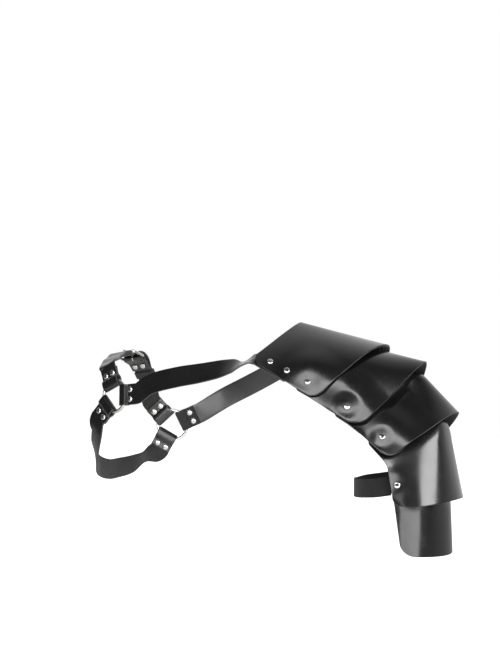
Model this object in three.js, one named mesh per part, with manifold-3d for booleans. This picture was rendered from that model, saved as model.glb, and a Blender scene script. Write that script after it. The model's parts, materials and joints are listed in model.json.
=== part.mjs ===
// Shoulder harness in smooth black leather. Five overlapping plates cover the wearer's left shoulder and
// upper arm. Straps hold them from a ring on the chest and a ring on the back, round the right shoulder.
// Millimetres, X to the wearer's left, Y to the back, Z up, and the wearer faces -Y. Until the last lines
// the zero point is the middle of the neck's base. The back of the harness mirrors the front.

import * as THREE from "three";
import { mergeVertices } from "three/addons/utils/BufferGeometryUtils.js";
import Module from "manifold-3d";

const wasm = await Module();
wasm.setup();

// Leather, webbing and wire
const LEATHER = 2;
const STRAP_WIDTH = 25;
const ELASTIC_WIDTH = 21;
const ELASTIC = 1.6;
const GAP = 0.3;
const SHEET_GAP = 0.5;
const RING_RADIUS = 19.2;
const RING_WIRE = 1.9;
const BUCKLE_WIRE = 1.8;
const PRONG_WIRE = 1.1;

// The wearer's shoulders lie along this plane, which mirrors front to back
const MIDDLE_Y = 12;

// Rivets
const CAP_RADIUS = 3.8;
const CAP_HEIGHT = 1.6;
const POST_RADIUS = 1.4;
const HOLE_RADIUS = 1.8;
const BACK_HEIGHT = 1;
const RIVET_SIDES = 8;
const CAP_SHOULDER = { radius: 0.65, height: 0.75 };
const CUT_CLEARANCE = 2;
const RAY_START = 20;

// Plate mesh: columns run across the shoulder from front to back, and rows from the neck to the arm
const HALF_COLUMNS = 14;
const ROWS = 8;
const COLUMN_CROWDING = 0.75;
const RIVET_LINE = 0.88;
const ARM_RIVET_LINE = 0.92;
const DENT_FLAT = 7;
const DENT_REACH = 25;
const RIDGE_KEEP = 0.55;
const LOFT_SOFTNESS = 0.06;
const END_GAP_POWER = 3;

// Colours and finishes
const LEATHER_LOOK = { color: 0x151416, roughness: 0.32, metalness: 0 };
const ELASTIC_LOOK = { color: 0x1b1a1c, roughness: 0.85, metalness: 0 };
const NICKEL_LOOK = { color: 0xc9c8c6, roughness: 0.18, metalness: 1 };

// Free edges of the plates. Each is an arch over the shoulder from its crown down to its front end.
// handle is how far the crown runs level, and pull is the arm that bends the arch at its front end. The back
// half is the same arch turned round, with its depth times backDepth.
const EDGES = table(
  ["name", "crownX", "crownZ", "handle", "frontX", "frontY", "frontZ", "pullX", "pullY", "pullZ", "backDepth"],
  [
    ["neck", 85.6, 3.4, 14.6, 57.9, -66, -36.6, 8.8, 22.1, 11.1, 1],
    ["lame_1", 192.5, -20.7, 53.3, 140.4, -64, -81.6, 13.3, 14.1, 18.3, 1],
    ["lame_2", 243.6, -39.3, 24.6, 189.7, -58, -111.9, 11.1, 11.7, 7.5, 0.92],
    ["lame_3", 281.9, -95.7, 37.9, 227.3, -50, -147.6, 18.4, 7.2, 17.8, 0.8],
    ["lame_4", 285.8, -194, 30.2, 229.4, -46, -199.7, 34.6, -10.5, 0.4, 0.9],
    ["lame_5", 273.1, -258.7, 26.9, 237.1, -42, -255.7, 16.1, 0.1, -0.4, 0.95],
  ],
);

// How each plate tucks under the one before it: how far its hidden edge reaches in, the room over that edge
// and under the outer plate's free edge, both at the crown, and the room at its front and back ends. Then how
// far it runs past the ends of that free edge, how much of it shows, and the radii of its own corners.
const TUCKS = table(
  ["name", "overlap", "hiddenGap", "freeGap", "endGap", "reach", "visible", "innerCorner", "outerCorner"],
  [
    ["lame_1", 0, 0, 0, 0, 0, 108, 15, 16],
    ["lame_2", 38, 5, 8, 3.5, 0, 55, 9, 16],
    ["lame_3", 36, 5, 16, 3.5, 1.5, 55, 9, 16],
    ["lame_4", 40, 12, 19, 3.5, 6, 85, 9, 16],
    ["lame_5", 53, 10, 15, 6.6, 4, 62, 9, 15],
  ],
);

// Rivets through the plates, by how far they lie from the crown to the front end and from the plate's inner
// edge to its outer edge
const PLATE_RIVETS = table(
  ["name", "plate", "u", "v"],
  [
    ["neck", "lame_1", RIVET_LINE, 0.2],
    ["chest", "lame_1", RIVET_LINE, 0.45],
    ["first", "lame_1", RIVET_LINE, 0.76],
    ["second", "lame_2", RIVET_LINE, 0.72],
    ["third", "lame_3", RIVET_LINE, 0.68],
    ["fourth", "lame_4", ARM_RIVET_LINE, 0.7],
  ],
);

// The ring that lies on the chest: its middle, how far it faces to the wearer's right and upward. The ring on
// the back mirrors it, and hangs lower by BACK_DROP.
const RING_CENTRE = new THREE.Vector3(-137, -45, -87);
const RING_TURN = THREE.MathUtils.degToRad(-15.5);
const RING_LIFT = THREE.MathUtils.degToRad(8);
const BACK_DROP = new THREE.Vector3(8, 14, -45);

// A strap's folded end, out from the ring's middle
const FOLD_AT = 13.9;
const FOLD_RADIUS = RING_WIRE + SHEET_GAP + LEATHER / 2;
const PINCH_START = 21.3;
const PINCH_END = 23.7;
const LOOP_TAIL = 35;
const FOLD_RUN = [LOOP_TAIL, 40];
const LOOP_RIVET_SPACING = 11.6;
const LAYER = LEATHER + GAP;

// Folded ends on the rings: how far each strap turns from level in the ring's plane, and its rivets' place
const RING_FOLDS = table(
  ["strap", "ring", "degrees", "rivetsAt"],
  [
    ["chest_strap", "front_ring", 7, 28],
    ["shoulder_strap", "front_ring", 115, 28],
    ["underarm_strap", "front_ring", 230, 30],
    ["back_strap", "back_ring", 24, 28],
    ["buckle_strap", "back_ring", 132, 28],
    ["underarm_strap", "back_ring", 240, 30],
  ],
);

// Free runs of the straps, by points on their middle line and the direction across their width
const ROUTE_COLUMNS = ["x", "y", "z", "acrossX", "acrossY", "acrossZ"];
const CHEST_ROUTE = table(ROUTE_COLUMNS, [
  [-80, -58, -70.5, 0.05, 0.2, 0.97],
  [-41, -66, -60.5, 0.05, 0.28, 0.95],
  [-6, -70, -54.4, 0, 0.45, 0.89],
  [20, -70.5, -49, 0, 0.6, 0.8],
  [36, -69, -45, 0, 0.8, 0.6],
  [47, -66, -42.5, 0.05, 0.97, 0.22],
]);
const BACK_ROUTE = table(ROUTE_COLUMNS, [
  [-62, 97.5, -96.5, -0.4, -0.1, 0.9],
  [-26, 99, -78.5, -0.38, -0.2, 0.88],
  [8, 97.5, -61.5, -0.25, -0.45, 0.85],
  [30, 94, -50.5, -0.1, -0.72, 0.7],
  [47, 90, -42.5, 0.05, -0.97, 0.22],
]);
const SHOULDER_ROUTE = table(ROUTE_COLUMNS, [
  [-158, -21, -47.5, -0.95, -0.05, -0.3],
  [-162.5, -8, -43.5, -0.96, -0.02, -0.27],
  [-166, 4, -42, -0.97, 0, -0.24],
  [-167, 14, -41.5, -0.97, 0, -0.24],
  [-167, 26, -42, -0.97, 0.02, -0.22],
  [-165.5, 44, -47, -0.97, 0.08, -0.2],
  [-163, 59, -59, -0.96, 0.14, -0.2],
  [-159, 70, -78, -0.95, 0.2, -0.2],
]);
const UNDERARM_ROUTE = table(ROUTE_COLUMNS, [
  [-163, -44.5, -131, 0.75, -0.42, -0.5],
  [-169.5, -38, -148.8, 0.72, -0.53, -0.44],
  [-174.8, -28, -164, 0.47, -0.57, -0.64],
  [-179.5, -14, -176, 0.18, -0.49, -0.83],
  [-181, MIDDLE_Y, -184, 0, 0, -1],
  [-180.5, 36, -184.5, -0.05, 0.1, -1],
  [-175, 60, -182, -0.2, 0.3, -0.93],
  [-165, 75, -173.5, -0.6, 0.35, -0.7],
]);
const ELASTIC_ROUTE = table(ROUTE_COLUMNS, [
  [207, -43, -180, 0, 0, -1],
  [190, -38, -182, 0, 0, -1],
  [174, -24, -184, 0, 0, -1],
  [163, -5, -185, 0, 0, -1],
  [160, MIDDLE_Y, -186, 0, 0, -1],
]);
const ROUTE_STEP = 14;

// The buckle lies on top of the right shoulder. Its two bars cross the strap, and places along the strap count
// from the front bar towards the back. Heights are over the middle of the strap that lies on the shoulder.
const FRONT_BAR_Y = 24;
const BAR_SPACING = 22;
const BAR_HEIGHT = BUCKLE_WIRE + GAP + LEATHER / 2;
const FRAME_HALF_WIDTH = STRAP_WIDTH / 2 + 0.6 + BUCKLE_WIRE;
const FRAME_CORNER = 1.8;
const TOP_LAYER = 2 * LAYER + GAP;
const BILLET_HEIGHTS = table(
  ["along", "height", "width"],
  [
    [-9, 0, STRAP_WIDTH],
    [3, 0, STRAP_WIDTH],
    [17, 7.9, STRAP_WIDTH],
    [22, 9.3, STRAP_WIDTH],
    [28, 10, STRAP_WIDTH],
    [36, 9.4, STRAP_WIDTH],
    [44, TOP_LAYER, STRAP_WIDTH],
    [56, TOP_LAYER, STRAP_WIDTH],
    [62, TOP_LAYER, STRAP_WIDTH],
    [66, TOP_LAYER, 0.8 * STRAP_WIDTH],
    [69, TOP_LAYER, 0.4 * STRAP_WIDTH],
  ],
);
const FRONT_RUN_END = -14;
const BACK_RUN_START = 74;
const BUCKLE_PLANE_FADE = [26, 44];
const BUCKLE_TAIL = 42;
const BUCKLE_BEND_END = BAR_SPACING + 3;
const BUCKLE_FOLD_FLAT = 31;
const BUCKLE_RIVETS_AT = 36;
const KEEPER_AT = 50;
const KEEPER_WIDTH = 9;
const KEEPER_FLAT = 6;
const BUCKLE_RUN = [42.5, KEEPER_AT - KEEPER_FLAT, KEEPER_AT + KEEPER_FLAT, 64];
const KEEPER_WALL = 1.6;
const PRONG_SLOT = 2 * (PRONG_WIRE + 0.5);
const PRONG_ROOT = { along: 0.6, up: 0.8 };
const PRONG_EYE_STEPS = 12;
const WIRE_SIDES = 6;
const RING_WIRE_SIDES = 8;
const RING_STEPS = 24;
const SLOT_DEPTH = 20;
const FRONT_SLOT = [8, 17.5];
const BAR_SLOT = [BAR_SPACING - 6, BAR_SPACING + 5.5];
const SAME_POINT = 0.01;

const meshes = [];

function table(columns, rows) {
  return rows.map((row) => Object.fromEntries(columns.map((column, place) => [column, row[place]])));
}

function rowNamed(rows, name) {
  return rows.find((row) => row.name === name);
}

function mirrored(point) {
  return new THREE.Vector3(point.x, 2 * MIDDLE_Y - point.y, point.z);
}

function mirroredDirection(direction) {
  return new THREE.Vector3(direction.x, -direction.y, direction.z);
}

function addMesh(name, geometry, look) {
  const mesh = new THREE.Mesh(geometry, new THREE.MeshStandardMaterial(look));
  mesh.name = name;
  meshes.push(mesh);
  return mesh;
}

// Closed bodies and booleans

function toSolid(geometry) {
  const bare = geometry.clone();
  bare.deleteAttribute("normal");
  bare.deleteAttribute("uv");
  const merged = mergeVertices(bare, 1e-4);
  return new wasm.Manifold(
    new wasm.Mesh({
      numProp: 3,
      vertProperties: new Float32Array(merged.attributes.position.array),
      triVerts: new Uint32Array(merged.index.array),
    }),
  );
}

function toGeometry(solid) {
  const mesh = solid.getMesh();
  const geometry = new THREE.BufferGeometry();
  geometry.setAttribute("position", new THREE.BufferAttribute(new Float32Array(mesh.vertProperties), 3));
  geometry.setIndex(new THREE.BufferAttribute(new Uint32Array(mesh.triVerts), 1));
  geometry.computeVertexNormals();
  return geometry;
}

function cut(geometry, cutters) {
  return toGeometry(cutters.reduce((solid, cutter) => solid.subtract(toSolid(cutter)), toSolid(geometry)));
}

// A sheet of even thickness on a grid of points, with its outer face on the side of rows crossed with columns

function gridNormals(grid) {
  const last = grid.length - 1;
  const edge = grid[0].length - 1;
  return grid.map((column, i) =>
    column.map((point, j) => {
      const along = grid[Math.min(i + 1, last)][j].clone().sub(grid[Math.max(i - 1, 0)][j]);
      const outward = column[Math.min(j + 1, edge)].clone().sub(column[Math.max(j - 1, 0)]);
      return outward.cross(along).normalize();
    }),
  );
}

// A cell's four corners, in the order that splits it the same way on both sides of the middle column
function cellCorners(i, j, columns) {
  const corners = [[i, j], [i, j + 1], [i + 1, j + 1], [i + 1, j]];
  return i < (columns - 1) / 2 ? corners : [...corners.slice(1), corners[0]];
}

function sheetGeometry(grid, thickness) {
  const columns = grid.length;
  const rows = grid[0].length;
  const normals = gridNormals(grid);
  const positions = [];
  const triangles = [];
  for (const side of [0.5, -0.5]) {
    grid.forEach((column, i) =>
      column.forEach((point, j) => {
        positions.push(...point.clone().addScaledVector(normals[i][j], side * thickness).toArray());
      }),
    );
  }
  const outer = (i, j) => i * rows + j;
  const under = columns * rows;
  const quad = (a, b, c, d) => triangles.push(a, b, c, a, c, d);
  for (let i = 0; i + 1 < columns; i += 1) {
    for (let j = 0; j + 1 < rows; j += 1) {
      const [a, b, c, d] = cellCorners(i, j, columns).map((place) => outer(...place));
      quad(a, b, c, d);
      quad(a + under, d + under, c + under, b + under);
    }
  }
  const wall = (from, to) => quad(to, from, from + under, to + under);
  for (let j = 0; j + 1 < rows; j += 1) {
    wall(outer(0, j), outer(0, j + 1));
    wall(outer(columns - 1, j + 1), outer(columns - 1, j));
  }
  for (let i = 0; i + 1 < columns; i += 1) {
    wall(outer(i, rows - 1), outer(i + 1, rows - 1));
    wall(outer(i + 1, 0), outer(i, 0));
  }
  const geometry = new THREE.BufferGeometry();
  geometry.setAttribute("position", new THREE.Float32BufferAttribute(positions, 3));
  geometry.setIndex(triangles);
  geometry.computeVertexNormals();
  return geometry;
}

// Plates

// Columns crowd together at the crown and at the front and back ends, and one lies on each rivet line
function columnPlaces() {
  const half = [];
  for (let i = 0; i <= HALF_COLUMNS; i += 1) {
    const w = i / HALF_COLUMNS;
    half.push(w - (COLUMN_CROWDING * Math.sin(2 * Math.PI * w)) / (2 * Math.PI));
  }
  for (const line of [RIVET_LINE, ARM_RIVET_LINE]) {
    const distances = half.map((u) => Math.abs(u - line));
    half[distances.indexOf(Math.min(...distances))] = line;
  }
  return [...half.slice(1).reverse().map((u) => -u), ...half];
}

const COLUMNS = columnPlaces();

function edgePoints(edge) {
  const crown = new THREE.Vector3(edge.crownX, MIDDLE_Y, edge.crownZ);
  const front = new THREE.Vector3(edge.frontX, edge.frontY, edge.frontZ);
  const level = crown.clone().add(new THREE.Vector3(0, -edge.handle, 0));
  const pull = front.clone().add(new THREE.Vector3(edge.pullX, edge.pullY, edge.pullZ));
  const half = new THREE.CubicBezierCurve3(crown, level, pull, front);
  return COLUMNS.map((u) => {
    const point = half.getPointAt(Math.abs(u));
    return u > 0 ? point.setY(MIDDLE_Y + edge.backDepth * (MIDDLE_Y - point.y)) : point;
  });
}

// A plate is lofted through two edges, or through three where it starts under another plate
class Plate {
  constructor(name, sections, middleAt) {
    this.name = name;
    this.sections = sections;
    this.middleAt = middleAt;
    this.tuck = rowNamed(TUCKS, name);
  }

  // The leather runs straight from section to section, and turns softly at the middle one
  onColumn(i, v) {
    const [inner, middle, outer] = this.sections.map((section) => section[i]);
    const straight = (place) => {
      const before = place / this.middleAt;
      const after = (place - this.middleAt) / (1 - this.middleAt);
      return before < 1 ? inner.clone().lerp(middle, before) : middle.clone().lerp(outer, after);
    };
    const sum = new THREE.Vector3();
    for (const shift of [-LOFT_SOFTNESS, 0, LOFT_SOFTNESS]) {
      sum.addScaledVector(straight(v + shift), 1 / 3);
    }
    return sum;
  }

  at(u, v) {
    const last = COLUMNS.length - 2;
    const i = THREE.MathUtils.clamp(COLUMNS.filter((place) => place <= u).length - 1, 0, last);
    const part = (u - COLUMNS[i]) / (COLUMNS[i + 1] - COLUMNS[i]);
    return this.onColumn(i, v).lerp(this.onColumn(i + 1, v), part);
  }

  normalAt(u, v) {
    const reach = 0.03;
    const place = THREE.MathUtils.clamp(u, -1, 1);
    const along = this.at(Math.min(place + reach, 1), v).sub(this.at(Math.max(place - reach, -1), v));
    const outward = this.at(u, v + reach).sub(this.at(u, v - reach));
    return outward.cross(along).normalize();
  }

  // Under the ridge the two flanks draw together but never cross the middle
  inside(u, v, depth) {
    const point = this.at(u, v);
    const moved = point.clone().addScaledVector(this.normalAt(u, v), -depth);
    const side = Math.sign(point.y - MIDDLE_Y);
    const room = Math.abs(point.y - MIDDLE_Y);
    moved.y = MIDDLE_Y + side * Math.max(side * (moved.y - MIDDLE_Y), RIDGE_KEEP * room);
    return moved;
  }

  halfLength(v) {
    let length = 0;
    for (let i = 1; i < COLUMNS.length; i += 1) {
      length += this.onColumn(i, v).distanceTo(this.onColumn(i - 1, v));
    }
    return length / 2;
  }

  // The rows stop short near the front and back ends, which rounds the corners
  grid(rivetRows) {
    const { innerCorner, outerCorner, overlap, visible } = this.tuck;
    const rows = Array.from({ length: ROWS + 1 }, (unused, j) => j / ROWS);
    for (const v of rivetRows) {
      rows[rows.reduce((best, row, j) => (Math.abs(row - v) < Math.abs(rows[best] - v) ? j : best), 0)] = v;
    }
    const trim = (u, v, radius) => {
      const fromEnd = Math.min((1 - Math.abs(u)) * this.halfLength(v), radius);
      return (radius - Math.sqrt(radius ** 2 - (radius - fromEnd) ** 2)) / (overlap + visible);
    };
    return COLUMNS.map((u, i) => {
      const low = trim(u, 0, innerCorner);
      const high = 1 - trim(u, 1, outerCorner);
      return rows.map((v) => this.onColumn(i, THREE.MathUtils.lerp(low, high, v)));
    });
  }
}

function tuckedPlate(name, above) {
  const tuck = rowNamed(TUCKS, name);
  const roomAt = (u, crownRoom) =>
    THREE.MathUtils.lerp(crownRoom, tuck.endGap, Math.abs(u) ** END_GAP_POWER);
  const hiddenV = 1 - tuck.overlap / (above.tuck.overlap + above.tuck.visible);
  const hidden = COLUMNS.map((u) => above.inside(u, hiddenV, roomAt(u, tuck.hiddenGap)));
  const stretch = 1 + tuck.reach / above.halfLength(1);
  const free = COLUMNS.map((u) => above.inside(u * stretch, 1, roomAt(u, tuck.freeGap)));
  const outer = edgePoints(rowNamed(EDGES, name));
  return new Plate(name, [hidden, free, outer], tuck.overlap / (tuck.overlap + tuck.visible));
}

function topPlate() {
  const neck = edgePoints(rowNamed(EDGES, "neck"));
  const outer = edgePoints(rowNamed(EDGES, "lame_1"));
  const middle = neck.map((point, i) => point.clone().lerp(outer[i], 0.5));
  return new Plate("lame_1", [neck, middle, outer], 0.5);
}

const plates = [topPlate()];
for (const name of ["lame_2", "lame_3", "lame_4", "lame_5"]) {
  plates.push(tuckedPlate(name, plates.at(-1)));
}
const plateRivets = (name) => PLATE_RIVETS.filter((rivet) => rivet.plate === name);
const grids = plates.map((plate) => plate.grid(plateRivets(plate.name).map((rivet) => rivet.v)));

// How far a ray runs before it meets the middle surface of a grid
function reachTo(grid, origin, direction) {
  const ray = new THREE.Ray(origin, direction);
  const hit = new THREE.Vector3();
  let nearest = Infinity;
  for (let i = 0; i + 1 < grid.length; i += 1) {
    for (let j = 0; j + 1 < grid[0].length; j += 1) {
      const [a, b, c, d] = cellCorners(i, j, grid.length).map(([column, row]) => grid[column][row]);
      for (const [p, q, r] of [[a, b, c], [a, c, d]]) {
        if (ray.intersectTriangle(p, q, r, false, hit)) {
          nearest = Math.min(nearest, hit.distanceTo(origin));
        }
      }
    }
  }
  return nearest;
}

function nearestRow(points, centre) {
  const distances = points.map((point) => point.distanceTo(centre));
  return distances.indexOf(Math.min(...distances));
}

// Each rivet between two plates pulls the outer one down onto the next, in a round dent
function pressDents(outerIndex, rivet) {
  const outer = grids[outerIndex];
  const next = grids[outerIndex + 1];
  const normals = gridNormals(outer);
  for (const column of [COLUMNS.indexOf(-rivet.u), COLUMNS.indexOf(rivet.u)]) {
    const centre = plates[outerIndex].onColumn(column, rivet.v);
    const row = nearestRow(outer[column], centre);
    const inward = normals[column][row].clone().negate();
    const centreReach = reachTo(next, centre, inward);
    const reachFrom = (i, j) => {
      const reach = reachTo(next, outer[i][j], normals[i][j].clone().negate());
      return reach < Infinity || i === column ? reach : reachFrom(i + Math.sign(column - i), j);
    };
    const moves = outer.map((points, i) =>
      points.map((point, j) => {
        const distance = point.distanceTo(centre);
        if (distance >= DENT_REACH) {
          return 0;
        }
        const t = THREE.MathUtils.clamp((DENT_REACH - distance) / (DENT_REACH - DENT_FLAT), 0, 1);
        const reach = Math.min(reachFrom(i, j), centreReach);
        return t * t * (3 - 2 * t) * Math.max(0, reach - LEATHER - SHEET_GAP);
      }),
    );
    outer.forEach((points, i) => {
      points.forEach((point, j) => point.addScaledVector(normals[i][j], -moves[i][j]));
    });
  }
}

plates.slice(0, -1).forEach((plate, index) => pressDents(index, plateRivets(plate.name).at(-1)));

// Rivets: a domed cap outside, a post through the leather and a flat cap inside

const rivetCutters = {};

function rivetGeometry(grip) {
  const inside = -grip - GAP;
  const profile = [
    [0, GAP + CAP_HEIGHT],
    [CAP_RADIUS * CAP_SHOULDER.radius, GAP + CAP_HEIGHT * CAP_SHOULDER.height],
    [CAP_RADIUS, GAP],
    [POST_RADIUS, GAP],
    [POST_RADIUS, inside],
    [CAP_RADIUS, inside],
    [CAP_RADIUS, inside - BACK_HEIGHT],
    [0, inside - BACK_HEIGHT],
  ];
  const points = profile.reverse().map(([radius, height]) => new THREE.Vector2(radius, height));
  return new THREE.LatheGeometry(points, RIVET_SIDES);
}

// A rivet on an outer face, with the pieces that it holds and the whole thickness that it grips
function addRivet(name, point, outward, grip, held) {
  const turn = new THREE.Quaternion().setFromUnitVectors(new THREE.Vector3(0, 1, 0), outward);
  const mesh = addMesh(name, rivetGeometry(grip), NICKEL_LOOK);
  mesh.position.copy(point);
  mesh.quaternion.copy(turn);
  const cutter = new THREE.CylinderGeometry(HOLE_RADIUS, HOLE_RADIUS, grip + 2 * CUT_CLEARANCE, RIVET_SIDES);
  cutter.translate(0, -grip / 2, 0).applyQuaternion(turn).translate(point.x, point.y, point.z);
  for (const piece of held) {
    rivetCutters[piece] = [...(rivetCutters[piece] ?? []), cutter];
  }
}

function bothSides(action) {
  action("front", (point) => point.clone(), (direction) => direction.clone());
  action("back", mirrored, mirroredDirection);
}

// Straps: stations along the middle line, each a point and the direction across

function station(point, across, width = STRAP_WIDTH) {
  return { point, across, width };
}

function fromRoute(rows, width = STRAP_WIDTH) {
  return rows.map((row) => {
    const across = new THREE.Vector3(row.acrossX, row.acrossY, row.acrossZ);
    return station(new THREE.Vector3(row.x, row.y, row.z), across, width);
  });
}

// The mirror image of a run, which may be moved as well
function mirroredRun(stations, moved = new THREE.Vector3()) {
  return stations.map((one) => {
    return station(mirrored(one.point).add(moved), mirroredDirection(one.across), one.width);
  });
}

// Long steps between stations are filled in along a smooth curve
function filledIn(stations) {
  const middle = new THREE.CatmullRomCurve3(stations.map((one) => one.point), false, "centripetal");
  const across = new THREE.CatmullRomCurve3(stations.map((one) => one.across), false, "centripetal");
  const count = stations.length - 1;
  const filled = [];
  for (let k = 0; k < count; k += 1) {
    const steps = Math.max(1, Math.round(stations[k].point.distanceTo(stations[k + 1].point) / ROUTE_STEP));
    for (let step = 0; step < steps; step += 1) {
      const t = (k + step / steps) / count;
      const width = THREE.MathUtils.lerp(stations[k].width, stations[k + 1].width, step / steps);
      filled.push(step === 0 ? stations[k] : station(middle.getPoint(t), across.getPoint(t), width));
    }
  }
  filled.push(stations.at(-1));
  return filled;
}

function ribbonGrid(stations, acrossSteps = 1) {
  const last = stations.length - 1;
  return stations.map((one, i) => {
    const [before, after] = [stations[Math.max(i - 1, 0)], stations[Math.min(i + 1, last)]];
    const along = after.point.clone().sub(before.point).normalize();
    const across = one.across.clone().addScaledVector(along, -one.across.dot(along)).normalize();
    return Array.from({ length: acrossSteps + 1 }, (unused, j) =>
      one.point.clone().addScaledVector(across, one.width * (j / acrossSteps - 0.5)),
    );
  });
}

// The ring's own directions on the chest
const ringRight = new THREE.Vector3(Math.cos(RING_TURN), Math.sin(RING_TURN), 0);
const ringOut = new THREE.Vector3(
  Math.sin(RING_TURN) * Math.cos(RING_LIFT),
  -Math.cos(RING_TURN) * Math.cos(RING_LIFT),
  Math.sin(RING_LIFT),
);
const ringUp = ringOut.clone().cross(ringRight);

function ringPoint(direction, along, out) {
  return RING_CENTRE.clone().addScaledVector(direction, along).addScaledVector(ringOut, out);
}

function strapDirection(degrees) {
  const angle = THREE.MathUtils.degToRad(degrees);
  return ringRight.clone().multiplyScalar(Math.cos(angle)).addScaledVector(ringUp, Math.sin(angle));
}

// The middle line of a fold round a wire: its tail, the bend and places on the main run
function foldProfile(tail, bend, radius, wideTo, flatFrom, run) {
  const profile = [[tail, -LAYER / 2], [flatFrom, -LAYER / 2], [wideTo, -radius]];
  for (let turn = 90; turn <= 270; turn += 30) {
    const radians = THREE.MathUtils.degToRad(-turn);
    profile.push([bend + radius * Math.cos(radians), radius * Math.sin(radians)]);
  }
  return [...profile, [wideTo, radius], ...[flatFrom, ...run].map((along) => [along, LAYER / 2])];
}

function ringFold(strap, ring) {
  const fold = RING_FOLDS.find((row) => row.strap === strap && row.ring === ring);
  const direction = strapDirection(fold.degrees);
  const across = ringOut.clone().cross(direction);
  const profile = foldProfile(LOOP_TAIL, FOLD_AT, FOLD_RADIUS, PINCH_START, PINCH_END, FOLD_RUN);
  const stations = profile.map(([along, out]) => station(ringPoint(direction, along, out), across));
  return ring === "back_ring" ? mirroredRun(stations, BACK_DROP) : stations;
}

// Two rivets side by side close each folded end
for (const fold of RING_FOLDS) {
  const direction = strapDirection(fold.degrees);
  const across = ringOut.clone().cross(direction);
  const outerFace = LAYER / 2 + LEATHER / 2;
  const onBack = fold.ring === "back_ring";
  ["a", "b"].forEach((letter, k) => {
    const point = ringPoint(direction, fold.rivetsAt, outerFace);
    point.addScaledVector(across, (k - 0.5) * LOOP_RIVET_SPACING);
    const place = onBack ? mirrored(point).add(BACK_DROP) : point;
    const outward = onBack ? mirroredDirection(ringOut) : ringOut;
    const name = `rivet_${fold.strap.replace("_strap", "")}_${fold.ring}_${letter}`;
    addRivet(name, place, outward, 2 * outerFace, [fold.strap]);
  });
}

// The chest strap's far end lies on the inside of the top plate, along the rivet line
const TAIL_ROWS = [0.03, 0.1, 0.2, 0.3, 0.38, 0.45, 0.52];
const TAIL_DEPTH = LEATHER + SHEET_GAP;
const ACROSS_STEPS = 2;

function tailGrid(sign) {
  const top = plates[0];
  return TAIL_ROWS.map((v) =>
    Array.from({ length: ACROSS_STEPS + 1 }, (unused, j) => {
      const u = sign * (RIVET_LINE - (STRAP_WIDTH * (j / ACROSS_STEPS - 0.5)) / top.halfLength(v));
      const inward = top.normalAt(u, v).negate();
      const dent = reachTo(grids[0], top.at(u, v).addScaledVector(inward, -TAIL_DEPTH), inward) - TAIL_DEPTH;
      return top.inside(u, v, TAIL_DEPTH + (dent < CAP_RADIUS ? Math.max(dent, 0) : 0));
    }),
  );
}

function withTail(run, tail) {
  const joint = station(tail[0][1], tail[0][2].clone().sub(tail[0][0]).normalize());
  return [...ribbonGrid(filledIn([...run, joint]).slice(0, -1), ACROSS_STEPS), ...tail];
}

const chestRun = [...ringFold("chest_strap", "front_ring"), ...fromRoute(CHEST_ROUTE)];
const backRun = [...ringFold("back_strap", "back_ring"), ...fromRoute(BACK_ROUTE)];
const strapGrids = {
  chest_strap: withTail(chestRun, tailGrid(-1)),
  back_strap: withTail(backRun, tailGrid(1)),
};

// Heights of a grid's middle surface along an axis, under the rim and the middle of a rivet's cap
function heightsUnderCap(grid, centre, axis) {
  const side = new THREE.Vector3(0, 0, 1).cross(axis).normalize();
  const other = axis.clone().cross(side);
  const rim = Array.from({ length: 8 }, (unused, k) => (k * Math.PI) / 4);
  const offsets = [[0, 0], ...rim.map((angle) => [Math.cos(angle), Math.sin(angle)])];
  return offsets.map(([a, b]) => {
    const origin = centre.clone().addScaledVector(axis, RAY_START);
    origin.addScaledVector(side, CAP_RADIUS * a).addScaledVector(other, CAP_RADIUS * b);
    return RAY_START - reachTo(grid, origin, axis.clone().negate());
  });
}

// The axis square to the facets round a point
function squareAxis(grid, centre, guess) {
  const [middle, east, , north, , west, , south] = heightsUnderCap(grid, centre, guess);
  const side = new THREE.Vector3(0, 0, 1).cross(guess).normalize();
  const other = guess.clone().cross(side);
  const alongSide = side.clone().multiplyScalar(2 * CAP_RADIUS).addScaledVector(guess, east - west);
  const alongOther = other.clone().multiplyScalar(2 * CAP_RADIUS).addScaledVector(guess, north - south);
  return alongSide.cross(alongOther).normalize();
}

// Rivets through the plates. The first two hold the strap's end, the last one the elastic.
let elasticLevel;
for (const rivet of PLATE_RIVETS) {
  const index = plates.findIndex((plate) => plate.name === rivet.plate);
  const holdsStrap = rivet.name === "neck" || rivet.name === "chest";
  const holdsElastic = rivet.name === "fourth";
  bothSides((side) => {
    const strap = side === "front" ? "chest_strap" : "back_strap";
    const column = COLUMNS.indexOf(side === "front" ? -rivet.u : rivet.u);
    const points = grids[index][column];
    const row = nearestRow(points, plates[index].onColumn(column, rivet.v));
    const outward = squareAxis(grids[index], points[row], gridNormals(grids[index])[column][row]);
    const underneath = holdsStrap ? strapGrids[strap] : grids[index + 1];
    const top = Math.max(...heightsUnderCap(grids[index], points[row], outward)) + LEATHER / 2;
    const elasticRoom = holdsElastic ? SHEET_GAP + ELASTIC : 0;
    const bottom = Math.min(...heightsUnderCap(underneath, points[row], outward)) - LEATHER / 2 - elasticRoom;
    const held = [rivet.plate, holdsStrap ? strap : plates[index + 1].name];
    if (holdsElastic) {
      held.push("arm_elastic");
      elasticLevel = points[row].z;
    }
    const face = points[row].clone().addScaledVector(outward, top);
    addRivet(`rivet_${side}_${rivet.name}`, face, outward, top - bottom, held);
  });
}

// The elastic band starts under the lowest plate at its rivet and runs round the inside of the arm
const ELASTIC_DEPTH = LEATHER / 2 + SHEET_GAP + ELASTIC / 2;
const ELASTIC_COLUMNS = [-0.8, -0.86, -0.92, -0.995];
const LEVELS = 100;
const HIGHEST_LEVEL = 60;

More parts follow.
